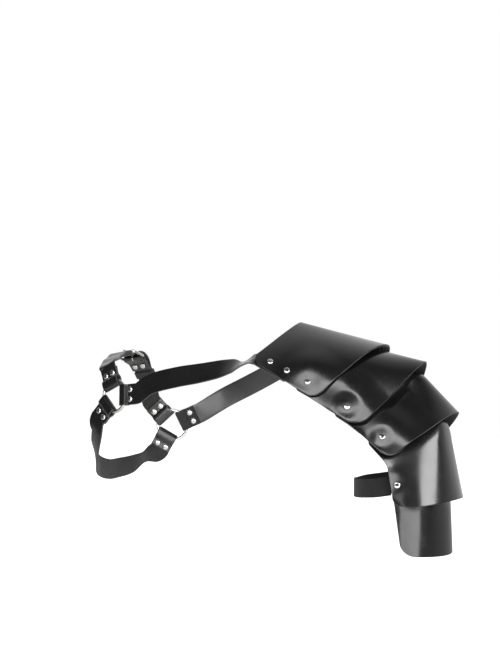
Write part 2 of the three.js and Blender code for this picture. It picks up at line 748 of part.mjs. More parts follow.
function elasticGrid() {
  const lowest = plates.at(-1);
  const tries = Array.from({ length: HIGHEST_LEVEL }, (unused, k) => k / LEVELS);
  const levels = tries.map((v) => Math.abs(lowest.at(-ARM_RIVET_LINE, v).z - elasticLevel));
  const v = tries[levels.indexOf(Math.min(...levels))];
  const height = lowest.tuck.overlap + lowest.tuck.visible;
  const under = (sign) =>
    ELASTIC_COLUMNS.map((u) =>
      Array.from({ length: ACROSS_STEPS + 1 }, (unused, j) =>
        lowest.inside(sign * u, v + (ELASTIC_WIDTH * (j / ACROSS_STEPS - 0.5)) / height, ELASTIC_DEPTH),
      ),
    );
  const [frontEnd, backEnd] = [under(1), under(-1).reverse()];
  const down = new THREE.Vector3(0, 0, -1);
  const frontRoute = fromRoute(ELASTIC_ROUTE, ELASTIC_WIDTH);
  const backRoute = mirroredRun(frontRoute.slice(0, -1).reverse());
  const joints = [frontEnd.at(-1), backEnd[0]].map((points) => station(points[1], down, ELASTIC_WIDTH));
  const free = filledIn([joints[0], ...frontRoute, ...backRoute, joints[1]]);
  return [...frontEnd, ...ribbonGrid(free, ACROSS_STEPS).slice(1, -1), ...backEnd];
}

// The strap over the right shoulder: one track from ring to ring, which both of its pieces follow

const shoulderStart = ringFold("shoulder_strap", "front_ring");
const shoulderEnd = ringFold("buckle_strap", "back_ring");
const track = filledIn([shoulderStart.at(-1), ...fromRoute(SHOULDER_ROUTE), shoulderEnd.at(-1)]);
const trackLengths = track.reduce((sums, one, k) => {
  sums.push(k === 0 ? 0 : sums[k - 1] + one.point.distanceTo(track[k - 1].point));
  return sums;
}, []);
const frontBarLength = trackLengths[track.findIndex((one) => one.point.y > FRONT_BAR_Y)];

// The track's point, directions and outward normal at a place counted from the front bar
function onTrack(along, height = 0, width = STRAP_WIDTH) {
  const length = frontBarLength + along;
  const next = Math.max(1, trackLengths.findIndex((sum) => sum >= length));
  const part = (length - trackLengths[next - 1]) / (trackLengths[next] - trackLengths[next - 1]);
  const [from, to] = [track[next - 1], track[next]];
  const before = track[Math.max(next - 2, 0)].point;
  const after = track[Math.min(next + 1, track.length - 1)].point;
  const startAlong = to.point.clone().sub(before).normalize();
  const tangent = startAlong.lerp(after.clone().sub(from.point).normalize(), part).normalize();
  const across = from.across.clone().lerp(to.across, part);
  across.addScaledVector(tangent, -across.dot(tangent)).normalize();
  const outward = tangent.clone().cross(across);
  const point = from.point.clone().lerp(to.point, part).addScaledVector(outward, height);
  return { point, across, width, tangent, outward };
}

// Flat hardware keeps the directions of the track at one place
function placedAt(along, height) {
  const { point, across, tangent, outward } = onTrack(along, height);
  const matrix = new THREE.Matrix4().makeBasis(tangent, across, outward);
  return matrix.setPosition(point);
}

const buckleSeat = placedAt(BAR_SPACING / 2, BAR_HEIGHT);
const buckleOutward = new THREE.Vector3().setFromMatrixColumn(buckleSeat, 2);

// A place in the flat plane of a piece of hardware
function inPlane(seat, along, height, width) {
  const across = new THREE.Vector3().setFromMatrixColumn(seat, 1);
  return station(new THREE.Vector3(along, 0, height).applyMatrix4(seat), across, width);
}

// Near the buckle and in the keeper the layers follow their planes, and elsewhere they follow the track
const keeperSeat = placedAt(KEEPER_AT, 0);

function layered(along, height, width = STRAP_WIDTH) {
  if (Math.abs(along - KEEPER_AT) <= KEEPER_FLAT) {
    return inPlane(keeperSeat, along - KEEPER_AT, height, width);
  }
  const share = THREE.MathUtils.smoothstep(along, ...BUCKLE_PLANE_FADE);
  const flat = inPlane(buckleSeat, along - BAR_SPACING / 2, height - BAR_HEIGHT, width);
  const settled = onTrack(along, height, width);
  return station(flat.point.lerp(settled.point, share), flat.across.clone().lerp(settled.across, share), width);
}

const frontRun = track.filter((one, k) => k > 0 && trackLengths[k] < frontBarLength + FRONT_RUN_END);
const billet = BILLET_HEIGHTS.map((row) => layered(row.along, row.height, row.width));
const shoulderStations = filledIn([...shoulderStart, ...frontRun, ...billet]);

// The strap from the back ring folds round the buckle's rear bar, with its tail underneath
const middleLayer = LAYER / 2;
const [bend, bendEnd, flat] = [BAR_SPACING, BUCKLE_BEND_END, BUCKLE_FOLD_FLAT];
const buckleFold = foldProfile(BUCKLE_TAIL, bend, BAR_HEIGHT, bendEnd, flat, BUCKLE_RUN).map(([along, out]) => {
  const settle = THREE.MathUtils.clamp((along - bendEnd) / (flat - bendEnd), 0, 1);
  return layered(along, out + THREE.MathUtils.lerp(BAR_HEIGHT, middleLayer, settle));
});
const backTrack = track.slice(0, -1).filter((one, k) => trackLengths[k] > frontBarLength + BACK_RUN_START);
const buckleStations = filledIn([...buckleFold, ...backTrack, ...shoulderEnd.slice().reverse()]);

function closedTube(points, outward, radius, sides) {
  const positions = [];
  const triangles = [];
  points.forEach((point, i) => {
    const next = points[(i + 1) % points.length];
    const previous = points.at(i - 1);
    const sideways = next.clone().sub(previous).normalize().cross(outward);
    for (let k = 0; k < sides; k += 1) {
      const angle = (2 * Math.PI * k) / sides;
      const spot = point.clone().addScaledVector(sideways, radius * Math.cos(angle));
      positions.push(...spot.addScaledVector(outward, radius * Math.sin(angle)).toArray());
    }
  });
  for (let i = 0; i < points.length; i += 1) {
    for (let k = 0; k < sides; k += 1) {
      const [a, b] = [i * sides + k, i * sides + ((k + 1) % sides)];
      const step = i + 1 < points.length ? sides : sides - sides * points.length;
      triangles.push(a, a + step, b, b, a + step, b + step);
    }
  }
  const geometry = new THREE.BufferGeometry();
  geometry.setAttribute("position", new THREE.Float32BufferAttribute(positions, 3));
  geometry.setIndex(triangles);
  geometry.computeVertexNormals();
  return geometry;
}

function buckleFrame() {
  const outline = new THREE.Shape();
  const [front, rear, side, r] = [0, BAR_SPACING, FRAME_HALF_WIDTH, FRAME_CORNER];
  outline.moveTo(front, -side + r);
  outline.lineTo(front, side - r);
  outline.absarc(front + r, side - r, r, Math.PI, Math.PI / 2, true);
  outline.lineTo(rear - r, side);
  outline.absarc(rear - r, side - r, r, Math.PI / 2, 0, true);
  outline.lineTo(rear, -side + r);
  outline.absarc(rear - r, -side + r, r, 0, -Math.PI / 2, true);
  outline.lineTo(front + r, -side);
  outline.absarc(front + r, -side + r, r, -Math.PI / 2, -Math.PI, true);
  const points = outline.getPoints(3).map(({ x, y }) => new THREE.Vector3(x - BAR_SPACING / 2, y, 0));
  const distinct = points.filter((point, k) => point.distanceTo(points.at(k - 1)) > SAME_POINT);
  const seated = distinct.map((point) => point.applyMatrix4(buckleSeat));
  return closedTube(seated, buckleOutward, BUCKLE_WIRE, WIRE_SIDES);
}

function bucklePin() {
  const eye = BUCKLE_WIRE + GAP + PRONG_WIRE;
  const ring = new THREE.TorusGeometry(eye, PRONG_WIRE, WIRE_SIDES, PRONG_EYE_STEPS).rotateX(Math.PI / 2);
  ring.translate(BAR_SPACING / 2, 0, 0);
  const tip = new THREE.Vector3(-BAR_SPACING / 2 - BUCKLE_WIRE, 0, BUCKLE_WIRE + GAP + PRONG_WIRE);
  const root = new THREE.Vector3(BAR_SPACING / 2 - PRONG_ROOT.along * eye, 0, PRONG_ROOT.up * eye);
  const shank = new THREE.CylinderGeometry(PRONG_WIRE, PRONG_WIRE, tip.distanceTo(root), WIRE_SIDES);
  const along = root.clone().sub(tip).normalize();
  const turn = new THREE.Quaternion().setFromUnitVectors(new THREE.Vector3(0, 1, 0), along);
  shank.applyQuaternion(turn).translate(...tip.clone().lerp(root, 0.5).toArray());
  return toGeometry(toSolid(ring).add(toSolid(shank))).applyMatrix4(buckleSeat);
}

// A slot for the pin, in the buckle's own plane
function pinSlot([from, to]) {
  const slot = new THREE.BoxGeometry(to - from, PRONG_SLOT, SLOT_DEPTH);
  return slot.translate((from + to) / 2 - BAR_SPACING / 2, 0, 0).applyMatrix4(buckleSeat);
}

function keeper() {
  const width = STRAP_WIDTH / 2 + GAP;
  const [low, high] = [LAYER - LEATHER / 2 - GAP, TOP_LAYER + LEATHER / 2 + GAP];
  const inner = new THREE.BoxGeometry(KEEPER_WIDTH + CUT_CLEARANCE, 2 * width, high - low);
  const outer = new THREE.BoxGeometry(KEEPER_WIDTH, 2 * (width + KEEPER_WALL), high - low + 2 * KEEPER_WALL);
  const ring = toSolid(outer).subtract(toSolid(inner));
  return toGeometry(ring).translate(0, 0, (low + high) / 2).applyMatrix4(keeperSeat);
}

// Two rivets close the fold behind the buckle
const buckleGrid = ribbonGrid(buckleStations);
["a", "b"].forEach((letter, k) => {
  const { point, across } = onTrack(BUCKLE_RIVETS_AT, middleLayer);
  const spot = point.clone().addScaledVector(across, (k - 0.5) * LOOP_RIVET_SPACING);
  const outward = squareAxis(buckleGrid, spot, buckleOutward);
  const above = Math.max(...heightsUnderCap(buckleGrid, spot, outward)) + LEATHER / 2;
  const below = Math.max(...heightsUnderCap(buckleGrid, spot, outward.clone().negate())) + LEATHER / 2;
  spot.addScaledVector(outward, above);
  addRivet(`rivet_buckle_fold_${letter}`, spot, outward, above + below, ["buckle_strap"]);
});

// Strap under the right arm, from ring to ring
const underarmStations = filledIn([
  ...ringFold("underarm_strap", "front_ring"),
  ...fromRoute(UNDERARM_ROUTE),
  ...ringFold("underarm_strap", "back_ring").reverse(),
]);

// The pieces

plates.forEach((plate, index) => {
  addMesh(plate.name, cut(sheetGeometry(grids[index], LEATHER), rivetCutters[plate.name]), LEATHER_LOOK);
});
const ribbons = {
  ...strapGrids,
  underarm_strap: ribbonGrid(underarmStations),
  shoulder_strap: ribbonGrid(shoulderStations),
  buckle_strap: buckleGrid,
};
rivetCutters.shoulder_strap.push(pinSlot(FRONT_SLOT));
rivetCutters.buckle_strap.push(pinSlot(BAR_SLOT));
for (const [name, grid] of Object.entries(ribbons)) {
  addMesh(name, cut(sheetGeometry(grid, LEATHER), rivetCutters[name]), LEATHER_LOOK);
}
addMesh("arm_elastic", cut(sheetGeometry(elasticGrid(), ELASTIC), rivetCutters.arm_elastic), ELASTIC_LOOK);
addMesh("buckle_frame", buckleFrame(), NICKEL_LOOK);
addMesh("buckle_prong", bucklePin(), NICKEL_LOOK);
addMesh("strap_keeper", keeper(), LEATHER_LOOK);
bothSides((side, place, turned) => {
  const wire = new THREE.TorusGeometry(RING_RADIUS, RING_WIRE, RING_WIRE_SIDES, RING_STEPS);
  const mesh = addMesh(`${side}_ring`, wire, NICKEL_LOOK);
  mesh.position.copy(place(RING_CENTRE)).addScaledVector(BACK_DROP, side === "back" ? 1 : 0);
  mesh.quaternion.setFromUnitVectors(new THREE.Vector3(0, 0, 1), turned(ringOut));
});

// The zero point moves to the seat under the top plate's crown, where the harness sits on the shoulder
const harness = new THREE.Group();
harness.name = "shoulder_harness";
harness.position.copy(plates[0].inside(0, 0.5, LEATHER / 2)).negate();
meshes.forEach((mesh) => harness.add(mesh));

export default harness;
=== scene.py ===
# Shoulder harness in smooth black leather: five plates over the left shoulder and arm, held by straps, two
# rings and a buckle round the right shoulder. Drawn sizes are millimetres from the middle of the neck's
# base, X to the wearer's left, Y to the back and Z up, and the pieces are placed in the frame in metres.

import json
import math
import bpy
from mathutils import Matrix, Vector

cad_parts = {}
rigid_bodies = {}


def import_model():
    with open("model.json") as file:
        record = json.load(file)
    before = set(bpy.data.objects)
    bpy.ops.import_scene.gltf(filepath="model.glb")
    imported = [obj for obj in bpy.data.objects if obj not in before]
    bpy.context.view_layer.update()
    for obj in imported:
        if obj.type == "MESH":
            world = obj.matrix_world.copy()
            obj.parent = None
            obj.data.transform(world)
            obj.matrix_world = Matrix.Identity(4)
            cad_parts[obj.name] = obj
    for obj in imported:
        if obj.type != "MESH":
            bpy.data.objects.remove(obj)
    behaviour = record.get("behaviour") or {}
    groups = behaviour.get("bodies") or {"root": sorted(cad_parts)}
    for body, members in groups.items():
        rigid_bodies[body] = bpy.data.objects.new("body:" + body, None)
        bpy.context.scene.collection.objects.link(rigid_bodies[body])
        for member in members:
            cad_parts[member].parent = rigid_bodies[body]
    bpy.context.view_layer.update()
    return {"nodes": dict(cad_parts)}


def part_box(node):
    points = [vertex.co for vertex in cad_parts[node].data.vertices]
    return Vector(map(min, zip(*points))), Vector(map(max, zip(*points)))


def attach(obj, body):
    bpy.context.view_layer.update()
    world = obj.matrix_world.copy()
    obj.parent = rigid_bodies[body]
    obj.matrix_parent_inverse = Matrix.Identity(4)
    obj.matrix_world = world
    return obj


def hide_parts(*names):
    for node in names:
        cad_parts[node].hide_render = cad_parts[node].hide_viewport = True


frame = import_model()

from types import SimpleNamespace

import bpy
import numpy as np
from mathutils import Vector
from mathutils.bvhtree import BVHTree

# Leather plates. Each is one piece of 2 mm cowhide, cut out, wetted and formed over a block, with rounded
# corners. It tucks under the plate before it, and two rivets near its ends let it swing there.

MM = 0.001
LEATHER = 2.0
SHEET_GAP = 0.5
MIDDLE_Y = 12.0
RING_CENTRE = np.array([-137.0, -45.0, -87.0])


def box_middle(node):
    return np.array([list(corner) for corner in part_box(node)]).mean(axis=0) / MM


# Drawn places less the seat are places in the frame
seat = RING_CENTRE - box_middle("front_ring")


def table(columns, rows):
    return [SimpleNamespace(**dict(zip(columns, row))) for row in rows]


def named(rows, name):
    return next(row for row in rows if row.name == name)


# Free edges: each is an arch from its crown to its front end. handle is how far the crown runs level, and
# pull is the arm that bends the arch at its front end. The back half mirrors it, times backDepth.
EDGES = table(
    ["name", "crownX", "crownZ", "handle"]
    + ["frontX", "frontY", "frontZ", "pullX", "pullY", "pullZ", "backDepth"],
    [
        ["neck", 85.6, 3.4, 14.6, 57.9, -66, -36.6, 8.8, 22.1, 11.1, 1],
        ["lame_1", 192.5, -20.7, 53.3, 140.4, -64, -81.6, 13.3, 14.1, 18.3, 1],
        ["lame_2", 243.6, -39.3, 24.6, 189.7, -58, -111.9, 11.1, 11.7, 7.5, 0.92],
        ["lame_3", 281.9, -95.7, 37.9, 227.3, -50, -147.6, 18.4, 7.2, 17.8, 0.8],
        ["lame_4", 285.8, -194, 30.2, 229.4, -46, -199.7, 34.6, -10.5, 0.4, 0.9],
        ["lame_5", 273.1, -258.7, 26.9, 237.1, -42, -255.7, 16.1, 0.1, -0.4, 0.95],
    ],
)
# How far each plate reaches in under the one before it, the room over its hidden edge, under the outer
# plate's free edge and at its ends, how far it runs past them, how much of it shows, and its corner radii
TUCKS = table(
    ["name", "overlap", "hiddenGap", "freeGap", "endGap", "reach", "visible", "innerCorner", "outerCorner"],
    [
        ["lame_1", 0, 0, 0, 0, 0, 108, 15, 16],
        ["lame_2", 38, 5, 8, 3.5, 0, 55, 9, 16],
        ["lame_3", 36, 5, 16, 3.5, 1.5, 55, 9, 16],
        ["lame_4", 40, 12, 19, 3.5, 6, 85, 9, 16],
        ["lame_5", 53, 10, 15, 6.6, 4, 62, 9, 15],
    ],
)
# The last rivet of each plate, by how far it lies from crown to end and from inner to outer edge, and the
# dent it makes: a flat middle, a slope out to its rim, and its depth
RIVET_LINE = 0.88
ARM_RIVET_LINE = 0.92
DENTS = table(
    ["name", "u", "v", "flat", "reach", "depth"],
    [
        ["lame_1", RIVET_LINE, 0.76, 2, 21, 2.4],
        ["lame_2", RIVET_LINE, 0.72, 4, 20, 3.2],
        ["lame_3", RIVET_LINE, 0.68, 2, 16, 1.3],
        ["lame_4", ARM_RIVET_LINE, 0.7, 3, 18, 1.2],
    ],
)
DENT_RAY = 60.0
# The ends of the upper plates turn under, along a bend beside each end, where the sheet stands this proud.
# It peaks at one distance from the end and has faded out at another. The top plate stays flat by the neck.
END_BULGES = {"lame_1": 3, "lame_2": 4.5, "lame_3": 5.2}
BEND_AT = 34.0
BEND_FADES = 65.0
BULGE_ROWS = {"lame_1": (0.3, 0.65)}
# How soft the turn between two sections is, and how near the flanks come to the middle under a ridge
LOFT_SOFTNESS = 0.06
SOFTENING_STEPS = 13
RIDGE_KEEP = 0.55
# How finely the edges, the sections and the sheet are divided, and how much columns crowd at crown and ends
EDGE_STEPS = 400
STEPS = np.linspace(-1, 1, 241)
NORMAL_REACH = 0.03
HALF_COLUMNS = 80
ROWS = 64
COLUMN_CROWDING = 0.75


def unit(vectors):
    return vectors / np.linalg.norm(vectors, axis=-1, keepdims=True)


def lerp(a, b, part):
    part = np.asarray(part)
    return a + (b - a) * (part[..., None] if np.ndim(a) > np.ndim(part) else part)


def edge_points(edge):
    crown = np.array([edge.crownX, MIDDLE_Y, edge.crownZ])
    front = np.array([edge.frontX, edge.frontY, edge.frontZ])
    level = crown - [0, edge.handle, 0]
    pull = front + [edge.pullX, edge.pullY, edge.pullZ]
    t = np.linspace(0, 1, EDGE_STEPS)[:, None]
    curve = (1 - t) ** 3 * crown + 3 * (1 - t) ** 2 * t * level + 3 * (1 - t) * t**2 * pull + t**3 * front
    lengths = np.concatenate([[0], np.cumsum(np.linalg.norm(np.diff(curve, axis=0), axis=1))])
    points = np.stack([np.interp(abs(STEPS) * lengths[-1], lengths, curve[:, k]) for k in range(3)], axis=1)
    back = STEPS > 0
    points[back, 1] = MIDDLE_Y + edge.backDepth * (MIDDLE_Y - points[back, 1])
    return points


def along_section(section, u):
    k = np.clip(np.searchsorted(STEPS, u) - 1, 0, len(STEPS) - 2)
    part = (u - STEPS[k]) / (STEPS[k + 1] - STEPS[k])
    return lerp(section[k], section[k + 1], part)


class Plate:
    """A sheet through three sections: straight between them, with a soft turn at the middle one."""

    def __init__(self, name, sections, middle_at):
        self.name = name
        self.sections = sections
        self.middle_at = middle_at
        self.tuck = named(TUCKS, name)
        self.height = self.tuck.overlap + self.tuck.visible

    def at(self, u, v):
        u, v = np.broadcast_arrays(np.asarray(u, float), np.asarray(v, float))
        inner, middle, outer = (along_section(section, u) for section in self.sections)
        soft = LOFT_SOFTNESS
        shifts = np.linspace(-soft, soft, SOFTENING_STEPS)
        total = np.zeros(u.shape + (3,))
        for shift in shifts:
            place = v + shift
            before = lerp(inner, middle, place / self.middle_at)
            after = lerp(middle, outer, (place - self.middle_at) / (1 - self.middle_at))
            total += np.where((place < self.middle_at)[..., None], before, after)
        return total / len(shifts)

    def normal_at(self, u, v):
        place = np.clip(u, -1, 1)
        before = self.at(np.maximum(place - NORMAL_REACH, -1), v)
        along = self.at(np.minimum(place + NORMAL_REACH, 1), v) - before
        outward = self.at(u, np.add(v, NORMAL_REACH)) - self.at(u, np.subtract(v, NORMAL_REACH))
        return unit(np.cross(outward, along))

    def inside(self, u, v, depth):
        """Under the ridge the two flanks draw together but never cross the middle."""
        point = self.at(u, v)
        moved = point - self.normal_at(u, v) * np.asarray(depth)[..., None]
        side = np.sign(point[..., 1] - MIDDLE_Y)
        room = abs(point[..., 1] - MIDDLE_Y)
        moved[..., 1] = MIDDLE_Y + side * np.maximum(side * (moved[..., 1] - MIDDLE_Y), RIDGE_KEEP * room)
        return moved

    def half_length(self, v):
        return np.linalg.norm(np.diff(self.at(STEPS, v), axis=0), axis=1).sum() / 2

    def grid(self):
        """The rows stop short near the front and back ends, which rounds the corners."""
        w = np.arange(HALF_COLUMNS + 1) / HALF_COLUMNS
        half = w - COLUMN_CROWDING * np.sin(2 * np.pi * w) / (2 * np.pi)
        columns = np.concatenate([-half[:0:-1], half])
        trims = []
        for v, radius in ((0, self.tuck.innerCorner), (1, self.tuck.outerCorner)):
            from_end = np.minimum((1 - abs(columns)) * self.half_length(v), radius)
            trims.append((radius - np.sqrt(radius**2 - (radius - from_end) ** 2)) / self.height)
        rows = np.linspace(0, 1, ROWS + 1)
        v = trims[0][:, None] + (1 - trims[1] - trims[0])[:, None] * rows
        return self.at(np.broadcast_to(columns[:, None], v.shape), v)


def tucked_plate(name, above):
    tuck = named(TUCKS, name)
    to_end = abs(STEPS) ** 3
    hidden_v = 1 - tuck.overlap / above.height
    hidden = above.inside(STEPS, hidden_v, lerp(tuck.hiddenGap, tuck.endGap, to_end))
    stretch = 1 + tuck.reach / above.half_length(1)
    free = above.inside(STEPS * stretch, 1, lerp(tuck.freeGap, tuck.endGap, to_end))
    sections = [hidden, free, edge_points(named(EDGES, name))]
    return Plate(name, sections, tuck.overlap / (tuck.overlap + tuck.visible))


def grid_normals(grid):
    outward = np.gradient(grid, axis=1)
    along = np.gradient(grid, axis=0)
    return unit(np.cross(outward, along))


def grid_faces(columns, rows, closed=False):
    places = np.arange(columns * rows).reshape(columns, rows)
    if closed:
        places = np.concatenate([places, places[:1]])
    corners = [places[:-1, :-1], places[:-1, 1:], places[1:, 1:], places[1:, :-1]]
    return np.stack(corners, axis=-1).reshape(-1, 4)


def grid_tree(grid):
    return BVHTree.FromPolygons(grid.reshape(-1, 3).tolist(), grid_faces(*grid.shape[:2]).tolist())


def smooth_step(value, start, end):
    t = np.clip((value - start) / (end - start), 0, 1)
    return t * t * (3 - 2 * t)


def turn_ends_under(grid, name):
    """The ends of an upper plate turn in round the arm, so the sheet bulges beside them."""
    steps = np.linalg.norm(np.diff(grid, axis=0), axis=2)
    from_front = np.concatenate([np.zeros((1, grid.shape[1])), np.cumsum(steps, axis=0)])
    from_end = np.minimum(from_front, from_front[-1] - from_front)
    rise = np.sin(np.pi / 2 * np.minimum(from_end / BEND_AT, 1))
    fall = 1 - smooth_step(from_end, BEND_AT, BEND_FADES)
    start, end = BULGE_ROWS.get(name, (-1, 0))
    rows = smooth_step(np.linspace(0, 1, grid.shape[1]), start, end)
    grid += grid_normals(grid) * (END_BULGES.get(name, 0) * rise * fall * rows)[..., None]


def press_dent(outer, next_grid, plate, dent, u):
    """The rivet pulls the outer plate towards the next, in a round dent."""
    normals = grid_normals(outer)
    drawn_at = np.linalg.norm(outer - plate.at(u, dent.v), axis=2)
    nearest = np.unravel_index(drawn_at.argmin(), drawn_at.shape)
    centre = Vector(outer[nearest])
    distances = np.linalg.norm(outer - centre, axis=2)
    reach = grid_tree(next_grid).ray_cast(centre, Vector(-normals[nearest]), DENT_RAY)[3] or math.inf
    depth = min(dent.depth, max(0.0, reach - LEATHER - SHEET_GAP))
    share = 1 - smooth_step(distances, dent.flat, dent.reach)
    outer -= normals * (share * depth)[..., None]


def linear(hex_colour):
    values = [int(hex_colour[k : k + 2], 16) / 255 for k in (1, 3, 5)]
    return [v / 12.92 if v <= 0.04045 else ((v + 0.055) / 1.055) ** 2.4 for v in values] + [1.0]


def add_node(tree, kind, settings=None, **inputs):
    """A node with its settings, its inputs as values and as sockets that link to it."""
    node = tree.nodes.new("ShaderNode" + kind)
    for name, value in (settings or {}).items():
        setattr(node, name, value)
    for name, value in inputs.items():
        socket = node.inputs[int(name[1:]) if name[1:].isdigit() else name.replace("_", " ")]
        if isinstance(value, bpy.types.NodeSocket):
            tree.links.new(value, socket)
        else:
            socket.default_value = value
    return node


def new_material(name):
    material = bpy.data.materials.new(name)
    material.use_nodes = True
    tree = material.node_tree
    tree.nodes.clear()
    shader = add_node(tree, "BsdfPrincipled")
    add_node(tree, "OutputMaterial", Surface=shader.outputs["BSDF"])
    place = add_node(tree, "TexCoord").outputs["Object"]
    return material, tree, shader, place


def per_metre(millimetres):
    return 1 / (millimetres * MM)


# A noise lies mostly in this range, and two tones or two grades of gloss are spread over it
NOISE_RANGE = {"From_Min": 0.3, "From_Max": 0.7}
TWO_TONES = {"data_type": "RGBA"}


def glazed_leather(name, dark, light, rough, grain_height):
    """Smooth full-grain cowhide, dyed through and glazed: near black, with a broad satin gleam.

    Its pores are 0.3 mm apart, too fine to show, and are drawn as a 1.6 mm grain. Slow waves of some
    30 mm come from the forming, and faint scuffs make patches of the gleam duller."""
    material, tree, shader, place = new_material(name)
    tone = add_node(tree, "TexNoise", Vector=place, Scale=per_metre(45), Detail=4.0)
    mix = add_node(tree, "Mix", TWO_TONES, Factor=tone.outputs["Fac"], _6=linear(dark), _7=linear(light))
    tree.links.new(mix.outputs[2], shader.inputs["Base Color"])
    scuffs = add_node(tree, "TexNoise", Vector=place, Scale=per_metre(14), Detail=6.0, Roughness=0.65)
    grades = {"To_Min": rough - 0.035, "To_Max": rough + 0.045}
    gloss = add_node(tree, "MapRange", Value=scuffs.outputs["Fac"], **NOISE_RANGE, **grades)
    tree.links.new(gloss.outputs["Result"], shader.inputs["Roughness"])
    pores = add_node(tree, "TexVoronoi", {"feature": "SMOOTH_F1"}, Vector=place, Scale=per_metre(1.6))
    waves = add_node(tree, "TexNoise", Vector=place, Scale=per_metre(30), Detail=2.0)
    wave_bump = add_node(tree, "Bump", Strength=0.5, Distance=0.5 * MM, Height=waves.outputs["Fac"])
    grain = add_node(
        tree, "Bump", Strength=0.2, Distance=grain_height * MM,
        Height=pores.outputs["Distance"], Normal=wave_bump.outputs["Normal"],
    )
    tree.links.new(grain.outputs["Normal"], shader.inputs["Normal"])
    shader.inputs["Coat Weight"].default_value = 0.35
    shader.inputs["Coat Roughness"].default_value = 0.16
    return material


def cut_edge(name, colour):
    """The cut edge of dyed leather, bevelled, inked and rubbed, and duller than the face. Its lighter grey is
    partly the rubbed edge's own tone and partly a painted highlight: the thin light line a rounded edge
    catches.
    """
    material, tree, shader, place = new_material(name)
    fibres = add_node(tree, "TexNoise", Vector=place, Scale=per_metre(0.8), Detail=5.0)
    tone = add_node(tree, "TexNoise", Vector=place, Scale=per_metre(9), Detail=3.0)
    # The ink is the edge's own dark. The lighter tone mixed with it is partly real edge wear and partly a
    # painted highlight.
    ink = linear("#161617")
    mix = add_node(tree, "Mix", TWO_TONES, Factor=tone.outputs["Fac"], _6=ink, _7=linear(colour))
    tree.links.new(mix.outputs[2], shader.inputs["Base Color"])
    gloss = add_node(tree, "MapRange", Value=tone.outputs["Fac"], **NOISE_RANGE, To_Min=0.36, To_Max=0.5)
    tree.links.new(gloss.outputs["Result"], shader.inputs["Roughness"])
    bump = add_node(tree, "Bump", Strength=0.3, Distance=0.12 * MM, Height=fibres.outputs["Fac"])
    tree.links.new(bump.outputs["Normal"], shader.inputs["Normal"])
    return material


def flesh_side(name):
    """The inner side of dyed hide: matt, slightly fibrous and a shade greyer than the glazed face."""
    material, tree, shader, place = new_material(name)
    fibres = add_node(tree, "TexNoise", Vector=place, Scale=per_metre(1.2), Detail=8.0, Roughness=0.7)
    patches = add_node(tree, "TexNoise", Vector=place, Scale=per_metre(22), Detail=3.0)
    tones = {"_6": linear("#0f0e0e"), "_7": linear("#1a1918")}
    mix = add_node(tree, "Mix", TWO_TONES, Factor=patches.outputs["Fac"], **tones)
    tree.links.new(mix.outputs[2], shader.inputs["Base Color"])
    gloss = add_node(tree, "MapRange", Value=fibres.outputs["Fac"], **NOISE_RANGE, To_Min=0.7, To_Max=0.9)
    tree.links.new(gloss.outputs["Result"], shader.inputs["Roughness"])
    bump = add_node(tree, "Bump", Strength=0.5, Distance=0.35 * MM, Height=fibres.outputs["Fac"])
    tree.links.new(bump.outputs["Normal"], shader.inputs["Normal"])
    shader.inputs["Sheen Weight"].default_value = 0.15
    shader.inputs["Sheen Roughness"].default_value = 0.5
    return material


def piece(name, points, faces, materials, node):
    """A smooth-shaded mesh drawn in millimetres, which stands for a CAD node."""
    places = (points.reshape(-1, 3) - seat) * MM
    mesh = bpy.data.meshes.new(name)
    mesh.from_pydata(places.tolist(), [], faces)
    mesh.polygons.foreach_set("use_smooth", [True] * len(mesh.polygons))
    for material in materials:
        mesh.materials.append(material)
    made = bpy.data.objects.new(name, mesh)
    bpy.context.scene.collection.objects.link(made)
    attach(made, "root")
    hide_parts(node)
    return made


BEVEL_SHARE = 0.28
BEVEL_ANGLE = math.radians(50)


def leather_piece(name, grid, materials, node, thickness=LEATHER, closed=False):
    """A sheet of leather of even thickness, with its own flesh side and bevelled cut edges."""
    made = piece(name, grid, grid_faces(*grid.shape[:2], closed).tolist(), materials, node)
    solid = made.modifiers.new("thickness", "SOLIDIFY")
    solid.thickness = thickness * MM
    solid.offset = 0
    solid.material_offset = 2
    solid.material_offset_rim = 1
    bevel = made.modifiers.new("bevelled edge", "BEVEL")
    bevel.width = BEVEL_SHARE * thickness * MM
    bevel.segments = 3
    bevel.limit_method = "ANGLE"
    bevel.angle_limit = BEVEL_ANGLE
    return made


neck = edge_points(named(EDGES, "neck"))
first_edge = edge_points(named(EDGES, "lame_1"))
plates = [Plate("lame_1", [neck, (neck + first_edge) / 2, first_edge], 0.5)]
for name in ["lame_2", "lame_3", "lame_4", "lame_5"]:
    plates.append(tucked_plate(name, plates[-1]))
plate_grids = [plate.grid() for plate in plates]
for plate, grid in zip(plates, plate_grids):
    turn_ends_under(grid, plate.name)
for k, plate in enumerate(plates[:-1]):
    dent = named(DENTS, plate.name)
    for end in (-dent.u, dent.u):
        press_dent(plate_grids[k], plate_grids[k + 1], plate, dent, end)

plate_leather = glazed_leather("glazed_cowhide", "#060607", "#0c0c0d", 0.24, 0.04)
# The plates' cut edges are a lighter grey. This is partly edge wear and partly a painted highlight along the
# rounded edge.
plate_edge = cut_edge("inked_cut_edge", "#3a3a3c")
flesh = flesh_side("dyed_flesh_side")
plate_finish = [plate_leather, plate_edge, flesh]
plate_pieces = []
for k, (plate, grid) in enumerate(zip(plates, plate_grids)):
    plate_pieces.append(leather_piece(f"plate_{k + 1}", grid, plate_finish, plate.name))

# Straps with folded ends. Each is a 25 mm strap of the same hide, cut with the grain outside, and its end
# goes round a ring, lies back on itself and is closed with two rivets side by side.

STRAP_WIDTH = 25.0
GAP = 0.3
LAYER = LEATHER + GAP
# The front ring's wire, and how the ring is turned to the side and tilted up where it lies on the chest. The
# back ring mirrors it, moved by the drop.
RING_WIRE = 1.9
RING_TURN = math.radians(-15.5)
RING_LIFT = math.radians(8)
BACK_DROP = np.array([8.0, 14.0, -45.0])
